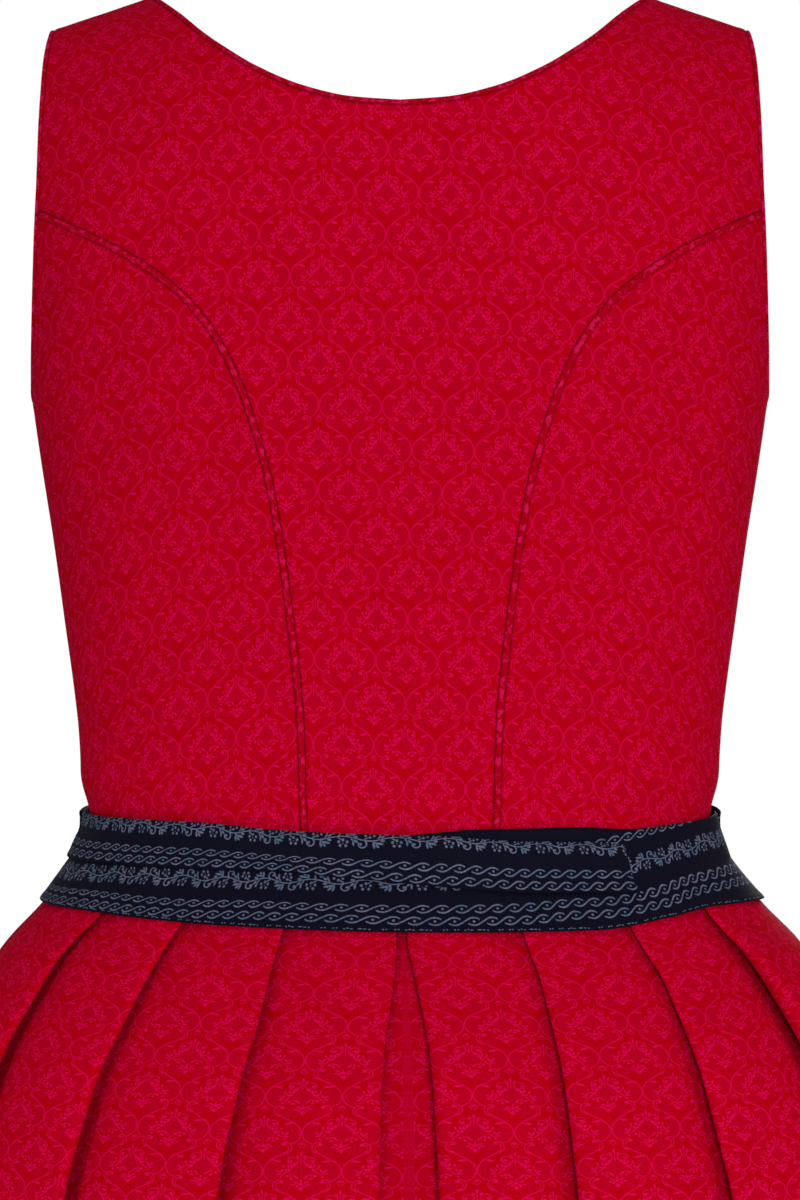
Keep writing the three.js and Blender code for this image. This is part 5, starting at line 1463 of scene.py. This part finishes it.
def make_bands():
    out = {}
    q = math.pi / 2
    sa = HALF / float(ring_speed(q, -400))
    full = (lambda t: np.full_like(t, BAND_TOP_Z)), (lambda t: np.full_like(t, BAND_BOTTOM_Z))
    under_edges = [smooth(column(UNDER_TIE, 0), column(UNDER_TIE, k)) for k in (1, 2)]
    under_at = lambda dt, db, th: print_height(UNDER_PRINT, [-24.5, -18.15, -12.85, -5.2, 0, 5.2, 12.85, 15.4], seen_x(th), db)
    out["under"] = band("cloth_apron_tie_under", "apron_tie_under", np.linspace(-q + sa, q - sa, 300),
                        lambda t: under_edges[0](np.degrees(t)), lambda t: under_edges[1](np.degrees(t)), BAND_OFFSET, 1.0,
                        under_at, under_wave, stretch=True, rows=48, start=-52.7, seam_ends=(True, True), mat=NAVY_EDGED)
    # over tie: the vine is cut by its upper edge, and the print is the other way up
    top, bottom = (smooth(column(OVER_TIE, 0), column(OVER_TIE, k)) for k in (1, 2))
    th = np.radians(np.linspace(OVER_TIE[0][0], OVER_TIE[-1][0], 280))
    th = np.concatenate([np.linspace(th[0], th[0] + 0.012, 7)[:-1], th[1:]])
    over_at = lambda dt, db, t: print_height(OVER_PRINT, [2.5, 0, -4.8, -12.85, -18.15, -24.0], seen_x(t), dt)
    out["over"] = band("cloth_apron_tie_over", "apron_tie_over", th, lambda t: top(np.degrees(t)), lambda t: bottom(np.degrees(t)),
                       OVER_OFFSET, 1.0, over_at, over_wave, stretch=True, rows=36, start=-51.5, turned=True)
    plain_rows = lambda dt, db, th: np.minimum(db, 39.4) - 24.0
    out["band"] = band("cloth_apron_waistband", "apron_waistband", np.linspace(q + sa, 3 * q - sa, 240), *full, BAND_OFFSET, 1.0,
                       plain_rows, lambda T, Z, dt, db: soft_wave(T, Z, WAVES_A, 0.3) + side_puff(T, Z), rows=30, seam_ends=(True, True))
    return out


APRON_Z = np.concatenate([np.arange(-422.3, -520, -3.2), np.linspace(-521, APRON_HEM_Z, 52)])


def apron_panel():
    """Gathered into the band: many small gathers that run together into a few deep folds."""
    z = APRON_Z
    cols = 330
    f = np.linspace(-1, 1, cols)
    F, Z = np.meshgrid(f, z)
    theta = math.pi + math.radians(APRON_HALF_ANGLE) * F
    down = -Z + BAND_BOTTOM_Z
    g = np.random.default_rng(21)
    lift = smooth(column(SKIRT_ROWS, 0), column(SKIRT_ROWS, 3))(Z)
    ripple = smooth([-422.3, -445, -490, -580, -760, APRON_HEM_Z], [0.9, 1.6, 2.6, 4.0, 5.5, 7.0])(Z)
    base = lift + 0.65 + 0.5 + 1.4 + ripple
    wander = 0.035 * np.sin(3.1 * F + 1.0) + 0.02 * np.sin(7.3 * F + 0.4) + 0.012 * np.sin(down / 160 + 2 * F)
    big = np.cos(math.pi * 2 * 9 * (F + wander + 1) / 2)
    fine = np.cos(math.pi * 2 * 31 * (F + 0.6 * wander + 1) / 2 + 1.3 * np.sin(4 * F)) * (0.65 + 0.35 * np.sin(9.7 * F + 1))
    mid = np.cos(math.pi * 2 * 17 * (F + 0.8 * wander + 1) / 2 + 0.8) * (0.6 + 0.4 * np.sin(5.3 * F + 2))
    off = base + ripple * big * smoothstep(down, -10, 60) * 0.93
    off = off + 0.85 * fine * np.exp(-down / 55) + 1.1 * mid * np.exp(-((down - 60) / 75) ** 2)
    P = ring_point(theta, Z, off)
    # hem and sides are turned in twice
    L = np.concatenate([np.zeros((len(z), 1)), np.cumsum(np.linalg.norm(np.diff(P, axis=1), axis=-1), axis=1)], 1)
    D = np.concatenate([np.zeros((1, cols)), np.cumsum(np.linalg.norm(np.diff(P, axis=0), axis=-1), axis=0)], 0)
    side = np.minimum(L, L[:, -1:] - L)
    th = 0.35 * (1 + 0.8 * np.maximum(1 - smoothstep(side, 9, 10), smoothstep(-Z, -APRON_HEM_Z - 26, -APRON_HEM_Z - 24)))
    T = np.gradient(P, axis=1)
    n2 = unit(np.stack([T[..., 1], -T[..., 0], np.zeros(T.shape[:2])], -1))
    edge = np.minimum(np.minimum(side, Z - APRON_HEM_Z), down + 0.6) + 0.5
    stitch = np.exp(-((side - 10) / 0.7) ** 2) + np.exp(-((Z - APRON_HEM_Z - 25) / 0.8) ** 2)
    o_shift = (-0.25 * stitch)[..., None]
    outer, inner = P + n2 * (th[..., None] + o_shift), P - n2 * th[..., None]
    uv = np.stack([D, L - L[:, -1:] / 2], -1) * 0.001       # the rows of the print run down the apron
    o = wall("cloth_apron_panel", outer, inner, uv, dict(edge=edge), [NAVY], sharp=60)
    finish_piece(o, ["apron_panel"])
    return o, float(L[:, -1].max()) * 0.001, float(D[-1].max()) * 0.001


# ------------------------------------------------------------------ buttons
def buttons():
    made = []
    prof = [(0.0, 0.0), (0.60, 0.0), (0.86, 0.02), (0.97, 0.12), (1.0, 0.26), (0.985, 0.42), (0.92, 0.60), (0.80, 0.76),
            (0.62, 0.89), (0.42, 0.96), (0.2, 0.995), (0.0, 1.0)]
    n = 40
    for k in range(BUTTON_ROWS["count"]):
        z = BUTTON_ROWS["first"] + (BUTTON_ROWS["last"] - BUTTON_ROWS["first"]) * k / (BUTTON_ROWS["count"] - 1)
        at = at_x(np.array([0.0]), np.array([z]))
        p, nrm = form_point(FRONT, at[:, 0], at[:, 1])[0], form_normal(FRONT, at[:, 0], at[:, 1])[0]
        c = p + nrm * (OVERLAP_LIFT + SHELL / 2 + 0.25)
        a = unit(np.cross(nrm, [0, 0, 1.0]))
        b = np.cross(nrm, a)
        V, UV = [c], [(0, 0)]
        ang = np.linspace(0, 2 * math.pi, n, endpoint=False)
        turn = 0.5 * k
        for r, h in prof[1:-1]:
            R, H = r * BUTTON_RADIUS, h * BUTTON_HEIGHT
            puck = 1 - 0.012 * (h < 0.3) * (1 + np.cos(9 * ang))
            V += list(c + nrm * H + R * puck[:, None] * (np.cos(ang)[:, None] * a + np.sin(ang)[:, None] * b))
            s = (R + H * 0.6)
            UV += [(s * math.cos(t + turn) + 13 * k, s * math.sin(t + turn) + 7 * k) for t in ang]
        V.append(c + nrm * BUTTON_HEIGHT); UV.append((13 * k, 7 * k))
        V = np.array(V)
        F = []
        m = len(prof) - 2
        for j in range(n):
            F.append((0, 1 + (j + 1) % n, 1 + j))
            F.append((len(V) - 1, 1 + (m - 1) * n + j, 1 + (m - 1) * n + (j + 1) % n))
        for i in range(m - 1):
            for j in range(n):
                a0, a1 = 1 + i * n + j, 1 + i * n + (j + 1) % n
                F += [(a0, a1, a1 + n), (a0, a1 + n, a0 + n)]
        F = oriented(V, np.array(F))
        o = new_object(f"covered_button_{k + 1}", V, F, np.array(UV) * 0.001, dict(edge=np.full(len(V), 9.0)), [RED_BODICE], sharp=60)
        made.append(finish_piece(o, [f"button_{k + 1}"]))
    return made


# ------------------------------------------------------------------ put together
body = {}
body["back"] = back_center()
for tag, side, curves in (("back", BACK, BACK_CURVES), ("front", FRONT, FRONT_CURVES)):
    for hand in (1, -1):
        print_at = (-95.0 * hand, -260.0, 1.0 * hand) if side == BACK else (95.0 * hand, -260.0, -1.0 * hand)
        body[(tag, hand)] = side_panel(tag, side, curves, hand, print_at)
for hand in (1, -1):
    body[("centre", hand)] = center_front("front", hand, (0.0, -230.0, 0.0))
cords = {(t, h): princess_piping(s, t, h) for t, s in (("back", BACK), ("front", FRONT)) for h in (1, -1)}
rims = edge_cords()
skirt_b = skirt_half("cloth_skirt_back", "skirt_back", PLEATS_BACK, False, 0.0)
skirt_f = skirt_half("cloth_skirt_front", "skirt_front", PLEATS_FRONT, True, 0.0)
bands = make_bands()
apron = apron_panel()
knobs = buttons()


def declare(item, extra=(0.0, 0.0), area=None):
    o, w, l = item
    w, l = w + extra[0], l + extra[1]
    if area is not None:
        area = min(max(area, 0.31 * w * l), w * l)


A = PANEL_AREA
declare(body["back"],
        area=A["cloth_back_center"] * 1.03)
for hand, t in ((1, "left"), (-1, "right")):
    declare(body[("back", hand)], area=A[f"cloth_side_back_{t}"] * 1.05)
    declare(body[("front", hand)], area=A[f"cloth_side_front_{t}"] * 1.05)
    declare(body[("centre", hand)], area=A[f"cloth_center_front_{t}"] * 1.04)
for item, name in ((skirt_b, "cloth_skirt_back"), (skirt_f, "cloth_skirt_front")):
    declare(item, extra=(0.02, 0.04))
declare(bands["under"])
declare(bands["over"])
declare(bands["band"])
declare(apron, extra=(0.02, 0.03))

# ------------------------------------------------------------------ floor, light, camera
def floor():
    me = bpy.data.meshes.new("floor")
    n, r, z = 96, 3.0, -1.62
    me.from_pydata([(r * math.cos(2 * math.pi * k / n), r * math.sin(2 * math.pi * k / n), z) for k in range(n)], [], [list(range(n))])
    o = bpy.data.objects.new("floor", me)
    bpy.context.scene.collection.objects.link(o)
    m = bpy.data.materials.new("pale_floor")
    m.use_nodes = True
    b = m.node_tree.nodes["Principled BSDF"]
    b.inputs["Base Color"].default_value = (0.82, 0.82, 0.82, 1)
    b.inputs["Roughness"].default_value = 0.9
    me.materials.append(m)
    return o


def area_light(name, at, aim, size, watts, colour=(1, 1, 1), spread=180.0):
    d = bpy.data.lights.new(name, "AREA")
    d.shape = "DISK"
    d.size = size
    d.energy = watts
    d.spread = math.radians(spread)
    d.color = colour
    o = bpy.data.objects.new(name, d)
    from mathutils import Vector
    o.location = at
    o.rotation_mode = "QUATERNION"
    o.rotation_quaternion = (Vector(aim) - Vector(at)).to_track_quat("-Z", "Y")
    bpy.context.scene.collection.objects.link(o)
    return o


floor()
world = bpy.data.worlds.new("studio")
bpy.context.scene.world = world
world.use_nodes = True
wt = world.node_tree
for nd in list(wt.nodes):
    wt.nodes.remove(nd)
seen, shine = wt.nodes.new("ShaderNodeBackground"), wt.nodes.new("ShaderNodeBackground")
seen.inputs["Color"].default_value = shine.inputs["Color"].default_value = (1, 1, 1, 1)
seen.inputs["Strength"].default_value = 1.0
shine.inputs["Strength"].default_value = 0.395
pick, rays, world_out = wt.nodes.new("ShaderNodeMixShader"), wt.nodes.new("ShaderNodeLightPath"), wt.nodes.new("ShaderNodeOutputWorld")
wt.links.new(rays.outputs["Is Camera Ray"], pick.inputs[0])
wt.links.new(shine.outputs[0], pick.inputs[1])
wt.links.new(seen.outputs[0], pick.inputs[2])
wt.links.new(pick.outputs[0], world_out.inputs["Surface"])
area_light("key", (-0.42, 2.68, 0.0), (0, 0, -0.35), 0.9, 34.0)
for hand in (1, -1):
    area_light(f"low_side_{hand + 2}", (1.9 * hand, 1.35, -0.98), (0.27 * hand, 0.1, -0.66), 0.3, 0.12, spread=17)
area_light("above", (0, 1.2, 1.9), (0, 0, -0.4), 1.2, 2.5)
area_light("front_fill", (-0.4, -2.8, 0.0), (0, 0, -0.35), 1.2, 36)

from mathutils import Vector
cam_data = bpy.data.cameras.new("camera")
cam_data.sensor_width = 36
cam_data.sensor_fit = "AUTO"
cam_data.lens = 2.5 * 36 / 0.564
cam_data.clip_start, cam_data.clip_end = 0.05, 60
cam = bpy.data.objects.new("camera", cam_data)
cam.location = (0, 2.5, -0.145)
cam.rotation_mode = "QUATERNION"
cam.rotation_quaternion = (Vector((0, 0, -0.281)) - Vector(cam.location)).to_track_quat("-Z", "Y")
bpy.context.scene.collection.objects.link(cam)
bpy.context.scene.camera = cam
bpy.context.scene.view_settings.view_transform = "Standard"
bpy.context.scene.view_settings.look = "None"
